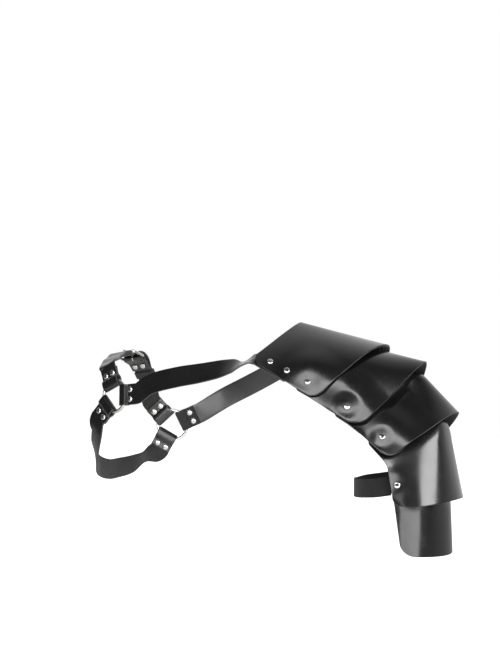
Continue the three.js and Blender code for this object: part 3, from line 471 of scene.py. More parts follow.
# A fold's bend, where its two layers draw together and its tail's end, all counted from the ring's middle,
# and where round the ring each strap's fold sits, in degrees
FOLD_AT = 13.9
FOLD_RADIUS = RING_WIRE + SHEET_GAP + LEATHER / 2
PINCH_START = 21.3
PINCH_END = 23.7
LOOP_TAIL = 35.0
FOLD_RUN = [LOOP_TAIL, 40.0]
RING_FOLDS = {
    ("chest_strap", "front_ring"): 7,
    ("shoulder_strap", "front_ring"): 115,
    ("underarm_strap", "front_ring"): 230,
    ("back_strap", "back_ring"): 24,
    ("buckle_strap", "back_ring"): 132,
    ("underarm_strap", "back_ring"): 240,
}
# Free runs: points on the strap's middle line, and the direction across it
CHEST_ROUTE = [
    [-80, -58, -70.5, 0.05, 0.2, 0.97],
    [-41, -66, -60.5, 0.05, 0.28, 0.95],
    [-6, -70, -54.4, 0, 0.45, 0.89],
    [20, -70.5, -49, 0, 0.6, 0.8],
    [36, -69, -45, 0, 0.8, 0.6],
    [47, -66, -42.5, 0.05, 0.97, 0.22],
]
BACK_ROUTE = [
    [-62, 97.5, -96.5, -0.4, -0.1, 0.9],
    [-26, 99, -78.5, -0.38, -0.2, 0.88],
    [8, 97.5, -61.5, -0.25, -0.45, 0.85],
    [30, 94, -50.5, -0.1, -0.72, 0.7],
    [47, 90, -42.5, 0.05, -0.97, 0.22],
]
UNDERARM_ROUTE = [
    [-163, -44.5, -131, 0.75, -0.42, -0.5],
    [-169.5, -38, -148.8, 0.72, -0.53, -0.44],
    [-174.8, -28, -164, 0.47, -0.57, -0.64],
    [-179.5, -14, -176, 0.18, -0.49, -0.83],
    [-181, MIDDLE_Y, -184, 0, 0, -1],
    [-180.5, 36, -184.5, -0.05, 0.1, -1],
    [-175, 60, -182, -0.2, 0.3, -0.93],
    [-165, 75, -173.5, -0.6, 0.35, -0.7],
]
# How finely routes are divided along and across, and arcs, in degrees
ROUTE_STEP = 14.0
FINE_STEP = 1.8
ACROSS_STEPS = 8
ARC_STEP = 15

# A run of strap is an array of stations, each a point, the direction across and the width


def station(point, across, width=STRAP_WIDTH):
    return np.concatenate([point, across, [width]])


def from_route(rows, width=STRAP_WIDTH):
    return [station(row[:3], row[3:], width) for row in rows]


def mirrored_run(run, moved=(0, 0, 0)):
    flip = np.array([1, -1, 1, 1, -1, 1, 1])
    shift = np.concatenate([np.add([0, 2 * MIDDLE_Y, 0], moved), [0, 0, 0, 0]])
    return [one * flip + shift for one in run]


def curve_between(p0, p1, p2, p3, t):
    """One span of a centripetal curve through points."""
    spans = [max(np.linalg.norm(b - a) ** 0.5, 0.01) for a, b in ((p0, p1), (p1, p2), (p2, p3))]
    first, middle, last = spans
    m1 = ((p1 - p0) / first - (p2 - p0) / (first + middle) + (p2 - p1) / middle) * middle
    m2 = ((p2 - p1) / middle - (p3 - p1) / (middle + last) + (p3 - p2) / last) * middle
    t = t[:, None]
    rise = 2 * t**3 - 3 * t**2
    return (rise + 1) * p1 + (t**3 - 2 * t**2 + t) * m1 - rise * p2 + (t**3 - t**2) * m2


def filled_in(run, step):
    """Long steps between stations are filled in along a smooth curve."""
    run = np.array(run)
    padded = np.concatenate([[2 * run[0] - run[1]], run, [2 * run[-1] - run[-2]]])
    filled = []
    for k in range(len(run) - 1):
        steps = max(1, round(np.linalg.norm(run[k + 1][:3] - run[k][:3]) / step))
        t = np.arange(steps) / steps
        points = curve_between(*padded[k : k + 4, :3], t)
        across = curve_between(*padded[k : k + 4, 3:6], t)
        widths = run[k][6] + (run[k + 1][6] - run[k][6]) * t
        filled.append(np.column_stack([points, across, widths]))
    return np.concatenate([*filled, run[-1:]])


def ribbon_grid(run):
    points = run[:, :3]
    along = np.empty_like(points)
    along[1:-1] = points[2:] - points[:-2]
    along[0] = points[1] - points[0]
    along[-1] = points[-1] - points[-2]
    along = unit(along)
    across = run[:, 3:6] - along * (run[:, 3:6] * along).sum(axis=1, keepdims=True)
    offsets = np.linspace(-0.5, 0.5, ACROSS_STEPS + 1)
    return points[:, None] + unit(across)[:, None] * offsets[:, None] * run[:, 6][:, None, None]


ring_right = np.array([math.cos(RING_TURN), math.sin(RING_TURN), 0])
ring_out = np.array(
    [
        math.sin(RING_TURN) * math.cos(RING_LIFT),
        -math.cos(RING_TURN) * math.cos(RING_LIFT),
        math.sin(RING_LIFT),
    ]
)
ring_up = np.cross(ring_out, ring_right)


def fold_profile(tail, bend, radius, wide_to, flat_from, run):
    """The middle line of a fold round a wire: its tail, the bend and places on the main run."""
    turns = np.radians(-np.arange(90, 271, ARC_STEP))
    curve = [[bend + radius * math.cos(turn), radius * math.sin(turn)] for turn in turns]
    start = [[tail, -LAYER / 2], [flat_from, -LAYER / 2], [wide_to, -radius]]
    return [*start, *curve, [wide_to, radius], *[[place, LAYER / 2] for place in [flat_from, *run]]]


def ring_fold(strap, ring):
    angle = math.radians(RING_FOLDS[strap, ring])
    direction = ring_right * math.cos(angle) + ring_up * math.sin(angle)
    across = np.cross(ring_out, direction)
    profile = fold_profile(LOOP_TAIL, FOLD_AT, FOLD_RADIUS, PINCH_START, PINCH_END, FOLD_RUN)
    run = [station(RING_CENTRE + direction * place + ring_out * out, across) for place, out in profile]
    return mirrored_run(run, BACK_DROP) if ring == "back_ring" else run


# The far end of the chest strap and of the back strap lies on the inside of the top plate, along its rivets
TAIL_FROM = 0.03
TAIL_TO = 0.52
TAIL_DEPTH = LEATHER + SHEET_GAP
TAIL_STEPS = 31
# How near the plate a strap is pressed under it, and how far beside the plate's edge the press fades out
PRESS_REACH = 14.0
PRESS_FADE = 12.0


def kept_under(grid, plate_grid):
    """A strap's end lies under the plate. Where its curve would rise through it, it is pressed below."""
    tree = grid_tree(plate_grid)
    faces = grid_faces(*plate_grid.shape[:2])
    normals = grid_normals(plate_grid).reshape(-1, 3)
    for spot in grid.reshape(-1, 3):
        place, face = tree.find_nearest(Vector(spot), PRESS_REACH)[::2]
        if place is None:
            continue
        normal = unit(normals[faces[face]].mean(axis=0))
        offset = spot - np.array(place)
        height = offset.dot(normal)
        aside = np.linalg.norm(offset - height * normal)
        rise = height + LEATHER + SHEET_GAP
        if rise > 0:
            spot -= normal * rise * (1 - smooth_step(aside, 0, PRESS_FADE))
    return grid


def with_tail(run, sign):
    top = plates[0]
    offsets = np.linspace(-0.5, 0.5, ACROSS_STEPS + 1)
    rows = []
    for v in np.linspace(TAIL_FROM, TAIL_TO, TAIL_STEPS):
        u = sign * (RIVET_LINE - STRAP_WIDTH * offsets / top.half_length(v))
        rows.append(top.inside(u, np.full_like(u, v), np.full_like(u, TAIL_DEPTH)))
    tail = np.array(rows)
    joint = station(tail[0, ACROSS_STEPS // 2], unit(tail[0, -1] - tail[0, 0]))
    return np.concatenate([ribbon_grid(filled_in([*run, joint], FINE_STEP)[:-1]), tail])


strap_leather = glazed_leather("glazed_strap_hide", "#070708", "#0e0e0f", 0.3, 0.05)
# The straps' cut edges are a lighter grey. This is partly edge wear and partly a painted highlight along the
# rounded edge.
strap_finish = [strap_leather, cut_edge("inked_strap_edge", "#343436"), flesh]
chest_run = [*ring_fold("chest_strap", "front_ring"), *from_route(CHEST_ROUTE)]
back_run = [*ring_fold("back_strap", "back_ring"), *from_route(BACK_ROUTE)]
underarm_run = [
    *ring_fold("underarm_strap", "front_ring"),
    *from_route(UNDERARM_ROUTE),
    *ring_fold("underarm_strap", "back_ring")[::-1],
]
strap_grids = {
    "chest_strap": kept_under(with_tail(chest_run, -1), plate_grids[0]),
    "back_strap": kept_under(with_tail(back_run, 1), plate_grids[0]),
    "underarm_strap": ribbon_grid(filled_in(underarm_run, FINE_STEP)),
}

# Strap over the right shoulder, in two parts. The part from the chest ring runs through the buckle as its
# billet. The part from the back ring folds round the buckle's rear bar and carries the keeper.

SHOULDER_ROUTE = [
    [-158, -21, -47.5, -0.95, -0.05, -0.3],
    [-162.5, -8, -43.5, -0.96, -0.02, -0.27],
    [-166, 4, -42, -0.97, 0, -0.24],
    [-167, 14, -41.5, -0.97, 0, -0.24],
    [-167, 26, -42, -0.97, 0.02, -0.22],
    [-165.5, 44, -47, -0.97, 0.08, -0.2],
    [-163, 59, -59, -0.96, 0.14, -0.2],
    [-159, 70, -78, -0.95, 0.2, -0.2],
]
BUCKLE_WIRE = 1.8
PRONG_WIRE = 1.1
FRONT_BAR_Y = 24
BAR_SPACING = 22.0
BAR_HEIGHT = BUCKLE_WIRE + GAP + LEATHER / 2
FRAME_ROOM = 0.6
FRAME_HALF_WIDTH = STRAP_WIDTH / 2 + FRAME_ROOM + BUCKLE_WIRE
FRAME_CORNER = 2.2
TOP_LAYER = 2 * LAYER + GAP
# The billet: places along it from the buckle's front bar, its height over the strap's track, and its width
BILLET_HEIGHTS = [
    [-9, 0, STRAP_WIDTH],
    [3, 0, STRAP_WIDTH],
    [17, 7.9, STRAP_WIDTH],
    [22, 9.3, STRAP_WIDTH],
    [28, 10, STRAP_WIDTH],
    [36, 9.4, STRAP_WIDTH],
    [44, TOP_LAYER, STRAP_WIDTH],
    [56, TOP_LAYER, STRAP_WIDTH],
    [62, TOP_LAYER, STRAP_WIDTH],
    [66, TOP_LAYER, 0.8 * STRAP_WIDTH],
    [69, TOP_LAYER, 0.4 * STRAP_WIDTH],
]
# Places from the front bar: where the plain track ends and begins again, where the layers leave the buckle's
# plane, the parts of the fold round the rear bar, and the keeper
FRONT_RUN_END = -14
BACK_RUN_START = 74
BUCKLE_PLANE_FADE = [26, 44]
BUCKLE_TAIL = 42.0
BUCKLE_BEND_END = BAR_SPACING + 3
BUCKLE_FOLD_FLAT = 31.0
KEEPER_AT = 50.0
KEEPER_WIDTH = 9.0
KEEPER_FLAT = 6.0
KEEPER_WALL = 1.6
BUCKLE_RUN = [42.5, KEEPER_AT - KEEPER_FLAT, KEEPER_AT + KEEPER_FLAT, 64.0]

shoulder_start = ring_fold("shoulder_strap", "front_ring")
shoulder_end = ring_fold("buckle_strap", "back_ring")
track = filled_in([shoulder_start[-1], *from_route(SHOULDER_ROUTE), shoulder_end[-1]], ROUTE_STEP)
track_lengths = np.concatenate([[0], np.cumsum(np.linalg.norm(np.diff(track[:, :3], axis=0), axis=1))])
front_bar = track_lengths[np.argmax(track[:, 1] > FRONT_BAR_Y)]


def on_track(along, height=0.0):
    """The track's point, across, tangent and outward directions at a place counted from the front bar."""
    length = front_bar + along
    k = max(1, int(np.argmax(track_lengths >= length)))
    part = (length - track_lengths[k - 1]) / (track_lengths[k] - track_lengths[k - 1])
    start = unit(track[k, :3] - track[max(k - 2, 0), :3])
    end = unit(track[min(k + 1, len(track) - 1), :3] - track[k - 1, :3])
    tangent = unit(start + (end - start) * part)
    across = track[k - 1, 3:6] + (track[k, 3:6] - track[k - 1, 3:6]) * part
    across = unit(across - tangent * across.dot(tangent))
    outward = np.cross(tangent, across)
    point = track[k - 1, :3] + (track[k, :3] - track[k - 1, :3]) * part + outward * height
    return point, across, tangent, outward


def in_plane(seat_of, along, height, width=STRAP_WIDTH):
    point, across, tangent, outward = seat_of
    return station(point + tangent * along + outward * height, across, width)


buckle_seat = on_track(BAR_SPACING / 2, BAR_HEIGHT)
keeper_seat = on_track(KEEPER_AT)


def layered(along, height, width=STRAP_WIDTH):
    """Near the buckle and in the keeper the layers follow their planes, and elsewhere the track."""
    if abs(along - KEEPER_AT) <= KEEPER_FLAT:
        return in_plane(keeper_seat, along - KEEPER_AT, height, width)
    share = smooth_step(along, *BUCKLE_PLANE_FADE)
    flat = in_plane(buckle_seat, along - BAR_SPACING / 2, height - BAR_HEIGHT, width)
    point, across = on_track(along, height)[:2]
    return flat + (station(point, across, width) - flat) * share


front_run = [one for k, one in enumerate(track) if k > 0 and track_lengths[k] < front_bar + FRONT_RUN_END]
billet = [layered(*row) for row in BILLET_HEIGHTS]
fold_places = [BUCKLE_TAIL, BAR_SPACING, BAR_HEIGHT, BUCKLE_BEND_END, BUCKLE_FOLD_FLAT, BUCKLE_RUN]
buckle_fold = []
for along, out in fold_profile(*fold_places):
    settle = np.clip((along - BUCKLE_BEND_END) / (BUCKLE_FOLD_FLAT - BUCKLE_BEND_END), 0, 1)
    buckle_fold.append(layered(along, out + BAR_HEIGHT + (LAYER / 2 - BAR_HEIGHT) * settle))
back_track = [one for k, one in enumerate(track[:-1]) if track_lengths[k] > front_bar + BACK_RUN_START]
strap_grids["shoulder_strap"] = ribbon_grid(filled_in([*shoulder_start, *front_run, *billet], FINE_STEP))
buckle_run = [*buckle_fold, *back_track, *shoulder_end[::-1]]
strap_grids["buckle_strap"] = ribbon_grid(filled_in(buckle_run, FINE_STEP))
for node, grid in strap_grids.items():
    leather_piece(node + "_leather", grid[:, ::-1], strap_finish, node)

# Keeper: a narrow loop of thinner strap hide round both layers, a little behind the buckle. It is held by
# friction alone, and stops the billet's end from lifting.

KEEPER_CORNER = 1.6
KEEPER_STEPS = 5


def rounded_rectangle(half, low, high, radius):
    """The round corners of an outline, as places in two directions, counted round its middle."""
    corners = []
    top, bottom = high - radius, low + radius
    for side, level, start in ((1, top, 0), (-1, top, 90), (-1, bottom, 180), (1, bottom, 270)):
        for turn in np.radians(start + np.arange(0, 91, ARC_STEP)):
            sideways = side * (half - radius) + radius * math.cos(turn)
            corners.append([sideways, level + radius * math.sin(turn)])
    return corners


wall_room = GAP + KEEPER_WALL / 2
loop = rounded_rectangle(
    STRAP_WIDTH / 2 + wall_room,
    LAYER - LEATHER / 2 - wall_room,
    TOP_LAYER + LEATHER / 2 + wall_room,
    KEEPER_CORNER,
)
point, across, tangent, outward = keeper_seat
parts = np.linspace(-0.5, 0.5, KEEPER_STEPS)
keeper_rows = []
for side, level in loop:
    middle = point + across * side + outward * level
    keeper_rows.append([middle + tangent * KEEPER_WIDTH * part for part in parts])
leather_piece(
    "strap_keeper_leather",
    np.array(keeper_rows),
    strap_finish,
    "strap_keeper",
    KEEPER_WALL,
    closed=True,
)

# Rings and buckle. The rings are welded from 3.8 mm wire, the buckle's frame from 3.6 mm wire and its prong
# from 2.2 mm wire, and all are nickel plated: bright, with faint polishing marks.


def nickel_plate(name, colour, rough):
    """Polished nickel plate: mirror-like, slightly warm, with fine marks that blur its reflections."""
    material, tree, shader, place = new_material(name)
    marks = add_node(tree, "TexNoise", Vector=place, Scale=per_metre(2.5), Detail=6.0, Roughness=0.7)
    grades = {"To_Min": rough - 0.04, "To_Max": rough + 0.08}
    gloss = add_node(tree, "MapRange", Value=marks.outputs["Fac"], **NOISE_RANGE, **grades)
    tree.links.new(gloss.outputs["Result"], shader.inputs["Roughness"])
    cloud = add_node(tree, "TexNoise", Vector=place, Scale=per_metre(6), Detail=3.0)
    tones = {"_6": linear(colour), "_7": linear("#d9d7d2")}
    mix = add_node(tree, "Mix", TWO_TONES, Factor=cloud.outputs["Fac"], **tones)
    tree.links.new(mix.outputs[2], shader.inputs["Base Color"])
    bump = add_node(tree, "Bump", Strength=0.1, Distance=0.05 * MM, Height=marks.outputs["Fac"])
    tree.links.new(bump.outputs["Normal"], shader.inputs["Normal"])
    shader.inputs["Metallic"].default_value = 1.0
    return material


RING_RADIUS = 19.2
RING_STEPS = 96
WIRE_SIDES = 20


def tube(points, radii, outward, sides=WIRE_SIDES, closed=True):
    """A round wire along points, with its sides in order from the outward direction."""
    count = len(points)
    if closed:
        along = unit(np.roll(points, -1, axis=0) - np.roll(points, 1, axis=0))
    else:
        along = unit(np.gradient(points, axis=0))
    sideways = unit(np.cross(along, outward))
    lift = np.cross(sideways, along)
    angles = 2 * np.pi * np.arange(sides) / sides
    spots = np.broadcast_to(np.asarray(radii, float), (count,))[:, None, None]
    ring = sideways[:, None] * np.cos(angles)[:, None] + lift[:, None] * np.sin(angles)[:, None]
    return points[:, None] + spots * ring


def tube_faces(columns, sides, closed=True):
    places = np.arange(columns * sides).reshape(columns, sides)
    places = np.concatenate([places, places[:, :1]], axis=1)
    if closed:
        places = np.concatenate([places, places[:1]])
    corners = [places[:-1, :-1], places[1:, :-1], places[1:, 1:], places[:-1, 1:]]
    return np.stack(corners, axis=-1).reshape(-1, 4)


wire_nickel = nickel_plate("polished_nickel_wire", "#c4c2bd", 0.12)
turns = np.linspace(0, 2 * np.pi, RING_STEPS, endpoint=False)[:, None]
ring_line = RING_CENTRE + RING_RADIUS * (ring_right * np.cos(turns) + ring_up * np.sin(turns))
front_wire = tube(ring_line, RING_WIRE, ring_out)
flip_y = np.array([1, -1, 1])
back_wire = (front_wire * flip_y + [0, 2 * MIDDLE_Y, 0] + BACK_DROP)[:, ::-1]
for node, wire in (("front_ring", front_wire), ("back_ring", back_wire)):
    faces = tube_faces(*wire.shape[:2]).tolist()
    piece(node + "_wire", wire, faces, [wire_nickel], node)

# The buckle's frame is a rounded rectangle of wire. Its prong is a wire bent round the rear bar, which runs
# over the strap in a low arch and thins out at both ends.

PRONG_ARCH = 0.5
PRONG_SIDES = 14
PRONG_STEPS = 24
PRONG_BEND = np.radians(np.arange(-235, 81, 12))
PRONG_EYE_TAPER = [0.5, 0.9]
PRONG_TIP_TAPER = [0.9, 0.7, 0.35]

point, across, tangent, outward = buckle_seat
half_spacing = BAR_SPACING / 2
outline = rounded_rectangle(half_spacing, -FRAME_HALF_WIDTH, FRAME_HALF_WIDTH, FRAME_CORNER)
frame_line = np.array([point + tangent * reach + across * spread for reach, spread in outline])
frame_wire = tube(frame_line, BUCKLE_WIRE, outward)
faces = tube_faces(*frame_wire.shape[:2]).tolist()
piece("buckle_frame_wire", frame_wire, faces, [wire_nickel], "buckle_frame")

eye = BUCKLE_WIRE + GAP + PRONG_WIRE
shank_length = BAR_SPACING + BUCKLE_WIRE
side_view = [[half_spacing + eye * math.cos(turn), eye * math.sin(turn)] for turn in PRONG_BEND]
for part in np.linspace(0, 1, PRONG_STEPS)[1:]:
    side_view.append([half_spacing - shank_length * part, eye + PRONG_ARCH * math.sin(math.pi * part)])
line = np.array([point + tangent * reach + outward * height for reach, height in side_view])
radii = np.full(len(line), PRONG_WIRE)
radii[: len(PRONG_EYE_TAPER)] *= PRONG_EYE_TAPER
radii[-len(PRONG_TIP_TAPER) :] *= PRONG_TIP_TAPER
prong_wire = tube(line, radii, across, sides=PRONG_SIDES, closed=False)
first_end = list(range(PRONG_SIDES))
last_end = [(len(line) - 1) * PRONG_SIDES + k for k in reversed(first_end)]
faces = [*tube_faces(*prong_wire.shape[:2], closed=False).tolist(), first_end, last_end]
piece("buckle_prong_wire", prong_wire, faces, [wire_nickel], "buckle_prong")

# Elastic band: woven black webbing, held by the lowest rivets under the arm plates, and running round the
# inside of the arm. It is 21 mm wide with cords of rubber along it, which show as fine ribs.

ELASTIC_WIDTH = 21.0
ELASTIC = 1.6
ELASTIC_DEPTH = LEATHER / 2 + SHEET_GAP + ELASTIC / 2
# Its ends lie under the lowest plate, between these places from crown to end
ELASTIC_FROM = 0.8
ELASTIC_TO = 0.995
ELASTIC_END_STEPS = 14
RIB_SPACING = 1.6
ELASTIC_ROUTE = [
    [207, -43, -180, 0, 0, -1],
    [190, -38, -182, 0, 0, -1],
    [174, -24, -184, 0, 0, -1],
    [163, -5, -185, 0, 0, -1],
    [160, MIDDLE_Y, -186, 0, 0, -1],
]


def woven_elastic(name):
    """Woven elastic: matt black yarn with ribs along the band, 1.6 mm apart instead of 0.8 to show."""
    material, tree, shader, place = new_material(name)
    across = add_node(tree, "SeparateXYZ", Vector=place).outputs["Z"]
    full_turns = 2 * math.pi * per_metre(RIB_SPACING)
    turns = add_node(tree, "Math", {"operation": "MULTIPLY"}, _0=across, _1=full_turns)
    ribs = add_node(tree, "Math", {"operation": "SINE"}, _0=turns.outputs[0])
    yarn = add_node(tree, "TexNoise", Vector=place, Scale=per_metre(0.9), Detail=4.0)
    tones = {"_6": linear("#050505"), "_7": linear("#0c0c0d")}
    mix = add_node(tree, "Mix", TWO_TONES, Factor=yarn.outputs["Fac"], **tones)
    tree.links.new(mix.outputs[2], shader.inputs["Base Color"])
    rib_bump = add_node(tree, "Bump", Strength=0.6, Distance=0.3 * MM, Height=ribs.outputs[0])
    yarn_bump = add_node(
        tree, "Bump", Strength=0.5, Distance=0.2 * MM,
        Height=yarn.outputs["Fac"], Normal=rib_bump.outputs["Normal"],
    )
    tree.links.new(yarn_bump.outputs["Normal"], shader.inputs["Normal"])
    gloss = add_node(tree, "MapRange", Value=yarn.outputs["Fac"], **NOISE_RANGE, To_Min=0.78, To_Max=0.92)
    tree.links.new(gloss.outputs["Result"], shader.inputs["Roughness"])
    shader.inputs["Specular IOR Level"].default_value = 0.25
    shader.inputs["Sheen Weight"].default_value = 0.1
    shader.inputs["Sheen Roughness"].default_value = 0.6
    return material


# The band lies at the height of the rivets that hold it, which is looked for down the lowest plate
lowest = plates[-1]
rivet_level = (box_middle("rivet_front_fourth") + seat)[2]
tries = np.linspace(0, 0.6, 61)
levels = lowest.at(np.full_like(tries, -ARM_RIVET_LINE), tries)[:, 2]
elastic_v = tries[abs(levels - rivet_level).argmin()]


def under_plate(sign):
    offsets = ELASTIC_WIDTH * np.linspace(-0.5, 0.5, ACROSS_STEPS + 1) / lowest.height
    depths = np.full_like(offsets, ELASTIC_DEPTH)
    ends = []
    for u in np.linspace(ELASTIC_FROM, ELASTIC_TO, ELASTIC_END_STEPS):
        ends.append(lowest.inside(np.full_like(offsets, sign * u), elastic_v + offsets, depths))
    return np.array(ends)


front_end = under_plate(-1)
back_end = under_plate(1)[::-1]
down = np.array([0, 0, -1])
front_route = from_route(ELASTIC_ROUTE, ELASTIC_WIDTH)
middle_of = ACROSS_STEPS // 2
elastic_run = [
    station(front_end[-1, middle_of], down, ELASTIC_WIDTH),
    *front_route,
    *mirrored_run(front_route[-2::-1]),
    station(back_end[0, middle_of], down, ELASTIC_WIDTH),
]
free_run = ribbon_grid(filled_in(elastic_run, FINE_STEP))[1:-1]
elastic_grid = np.concatenate([front_end, free_run, back_end])
webbing = woven_elastic("woven_elastic")
leather_piece("arm_elastic_webbing", elastic_grid, [webbing] * 3, "arm_elastic", ELASTIC)

# Rivets: double-cap rivets of nickel-plated brass. A domed cap with a rolled rim lies outside, a flat cap
# inside, and the post between them is out of sight.

CAP_RADIUS = 3.8
CAP_HEIGHT = 1.6
BACK_HEIGHT = 1.0
POST_RADIUS = 1.4
POST_MINIMUM = 1.5
PIN_POINT = 0.001
DOME_STEPS = 14
DOME_TURN = 1.45
RIVET_SIDES = 40
RAY_LEAD = 2.0
RAY_REACH = 20.0
# A direction that no rivet's axis has, to start the rings of corners from
OFF_AXIS = [0.3, 0.5, 0.8]
rivet_nickel = nickel_plate("bright_rivet_nickel", "#bdbbb6", 0.1)


def rivet_profile(bottom):
    """Radius and height over the outer leather, from the dome's top to the inner cap's middle."""
    shares = np.sin(np.linspace(0, DOME_TURN, DOME_STEPS))
    dome = np.stack([CAP_RADIUS * shares, CAP_HEIGHT * np.sqrt(1 - shares**4)], axis=1).tolist()
    rim = [[CAP_RADIUS, 0.1], [CAP_RADIUS - 0.1, 0], [CAP_RADIUS - 0.6, -0.05]]
    post = [[POST_RADIUS, -0.1], [POST_RADIUS, bottom + 0.1]]
    inner = [[CAP_RADIUS - 0.4, bottom], [CAP_RADIUS, bottom - 0.35], [CAP_RADIUS - 0.5, bottom - 0.8]]
    back = [[POST_RADIUS + 0.1, bottom - BACK_HEIGHT], [PIN_POINT, bottom - BACK_HEIGHT]]
    return np.array([[PIN_POINT, CAP_HEIGHT], *dome[1:], *rim, *post, *inner, *back])


SAME_DISTANCE = 0.05


def cap_seat(node):
    """The top of a CAD rivet's dome, its direction and the rivet's length. The corners lie in even rings
    round the axis, so the dome's top sees the others at the fewest different distances."""
    corners = np.array([list(vertex.co) for vertex in frame["nodes"][node].data.vertices]) / MM + seat
    corners = np.unique(corners.round(3), axis=0)
    spread = np.sort(np.linalg.norm(corners[:, None] - corners, axis=2), axis=1)
    kinds = (np.diff(spread, axis=1) > SAME_DISTANCE).sum(axis=1)
    ends = np.flatnonzero(kinds <= kinds.min() + 1)
    top = max(ends, key=lambda k: spread[k, 1])
    axis = unit(corners[top] - corners.mean(axis=0))
    heights = corners.dot(axis)
    return corners[top], axis, heights.max() - heights.min()


bpy.context.view_layer.update()
depsgraph = bpy.context.evaluated_depsgraph_get()
sheets = [made.evaluated_get(depsgraph) for made in bpy.data.objects if made.modifiers]


def face_met(start, direction):
    """Where a line first meets a visible sheet, or None."""
    origin = Vector((start - seat) * MM)
    hits = []
    for sheet in sheets:
        hit, place = sheet.ray_cast(origin, Vector(direction), distance=RAY_REACH * MM)[:2]
        if hit:
            hits.append(np.array(place) / MM + seat)
    return min(hits, key=lambda hit: np.linalg.norm(hit - start)) if hits else None


# Paired rivets, whose names end in a letter, close a strap's fold. The others hold plates, whose ends bulge.
turns = 2 * np.pi * np.arange(RIVET_SIDES) / RIVET_SIDES
for name in sorted(name for name in frame["nodes"] if name.startswith("rivet_")):
    top, axis, length = cap_seat(name)
    in_pair = name[-2] == "_"
    lead = RAY_LEAD if in_pair else RAY_LEAD + max(END_BULGES.values())
    outer = face_met(top + lead * axis, -axis)
    inner = face_met(top - (length + RAY_LEAD) * axis, axis)
    if outer is None:
        outer = top - axis * (CAP_HEIGHT + GAP)
    if inner is None:
        bottom = -(length - CAP_HEIGHT - BACK_HEIGHT - 2 * GAP)
    else:
        bottom = (inner - outer).dot(axis)
    radii, heights = rivet_profile(min(bottom, -POST_MINIMUM)).T[..., None, None]
    side = unit(np.cross(axis, OFF_AXIS))
    other = np.cross(axis, side)
    spokes = side * np.cos(turns)[:, None] + other * np.sin(turns)[:, None]
    spots = outer + heights * axis + radii * spokes
    faces = tube_faces(*spots.shape[:2], closed=False)[:, ::-1].tolist()
    piece(name + "_caps", spots, faces, [rivet_nickel], name)

# Floor, room, lights and camera. A pale floor lies at a standing wearer's feet, in a white room. A bright
# softbox stands to the wearer's left, a weak one to the right, a strip above and a wide panel low in front.

FLOOR_Z = -1.35
FLOOR_HALF = 12.0

corners = [(x * FLOOR_HALF, y * FLOOR_HALF, FLOOR_Z) for x, y in ((-1, -1), (1, -1), (1, 1), (-1, 1))]
floor_mesh = bpy.data.meshes.new("floor")
floor_mesh.from_pydata(corners, [], [(0, 1, 2, 3)])
floor = bpy.data.objects.new("floor", floor_mesh)
bpy.context.scene.collection.objects.link(floor)
material, tree, shader, place = new_material("pale_floor")
shader.inputs["Base Color"].default_value = linear("#f4f4f4")
shader.inputs["Roughness"].default_value = 0.9
shader.inputs["Emission Color"].default_value = linear("#ffffff")
seen = add_node(tree, "LightPath").outputs["Is Camera Ray"]
tree.links.new(seen, shader.inputs["Emission Strength"])
floor_mesh.materials.append(material)

# The camera sees an even white room. What the leather reflects is dim in front and brighter behind and above.
ABOVE_SHARE = 0.4
ROOM_BRIGHTNESS = {"From_Min": 0.1, "From_Max": 0.9, "To_Min": 0.1, "To_Max": 1.0}

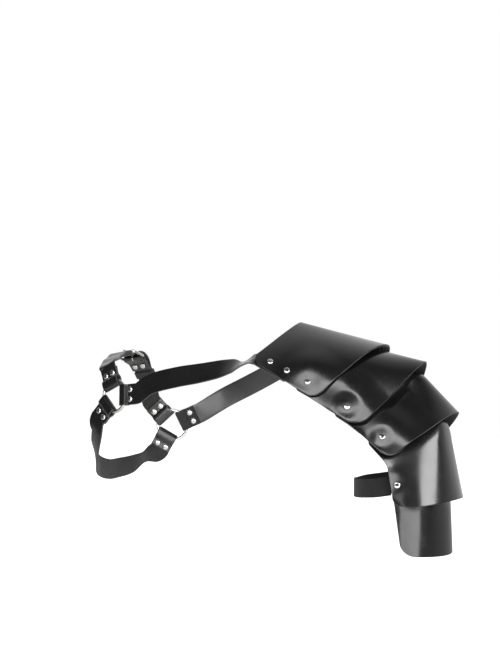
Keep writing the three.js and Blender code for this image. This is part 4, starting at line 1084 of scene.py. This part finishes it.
world = bpy.data.worlds.new("studio")
bpy.context.scene.world = world
world.use_nodes = True
tree = world.node_tree
tree.nodes.clear()
direction = add_node(tree, "TexCoord").outputs["Generated"]
parts = add_node(tree, "SeparateXYZ", Vector=direction).outputs
weighed = {"operation": "MULTIPLY_ADD"}
behind = add_node(tree, "Math", weighed, _0=parts["Z"], _1=ABOVE_SHARE, _2=parts["Y"])
brightness = add_node(tree, "MapRange", Value=behind.outputs[0], **ROOM_BRIGHTNESS)
reflected = add_node(tree, "Background", Color=linear("#ffffff"), Strength=brightness.outputs["Result"])
seen = add_node(tree, "Background", Color=linear("#ffffff"), Strength=1.0)
ray = add_node(tree, "LightPath").outputs["Is Camera Ray"]
both = add_node(tree, "MixShader", _0=ray, _1=reflected.outputs[0], _2=seen.outputs[0])
add_node(tree, "OutputWorld", Surface=both.outputs[0])

AIM = Vector((0.02, 0, -0.1))
# Angles in degrees, sizes in metres, and brightness as so many times that of white paper
SOFTBOXES = table(
    ["name", "azimuth", "elevation", "distance", "width", "height", "brightness"],
    [
        ["right_softbox", 66, 21, 1.8, 1.2, 0.95, 10],
        ["left_softbox", -24, 16, 1.9, 0.9, 0.8, 2],
        ["high_strip", -2, 38, 1.9, 1.3, 0.45, 7],
        ["low_front_panel", 25, -11, 2.6, 4.4, 1.0, 5.2],
    ],
)


def way_to(azimuth, elevation):
    """The direction from the harness to a lamp or the camera, by its angles in degrees."""
    turn, lift = math.radians(azimuth), math.radians(elevation)
    return Vector((math.sin(turn) * math.cos(lift), -math.cos(turn) * math.cos(lift), math.sin(lift)))


def stand(made, target, way, distance):
    """Puts a lamp or the camera on its way from the target, facing it."""
    made.location = target + way * distance
    made.rotation_euler = way.to_track_quat("Z", "Y").to_euler()
    bpy.context.scene.collection.objects.link(made)


for box in SOFTBOXES:
    light = bpy.data.lights.new(box.name, "AREA")
    light.shape = "RECTANGLE"
    light.size = box.width
    light.size_y = box.height
    light.energy = box.brightness * math.pi * box.width * box.height
    lamp = bpy.data.objects.new(box.name, light)
    lamp.visible_camera = False
    stand(lamp, AIM, way_to(box.azimuth, box.elevation), box.distance)

CAMERA_AZIMUTH = 27
CAMERA_ELEVATION = 2
CAMERA_DISTANCE = 2.2
CAMERA_TARGET = Vector((-0.1196, -0.0022, 0.0096))
LENS = 101.5
SENSOR_WIDTH = 36

lens = bpy.data.cameras.new("camera")
lens.lens = LENS
lens.sensor_width = SENSOR_WIDTH
camera = bpy.data.objects.new("camera", lens)
stand(camera, CAMERA_TARGET, way_to(CAMERA_AZIMUTH, CAMERA_ELEVATION), CAMERA_DISTANCE)
bpy.context.scene.camera = camera
bpy.context.scene.view_settings.view_transform = "Standard"
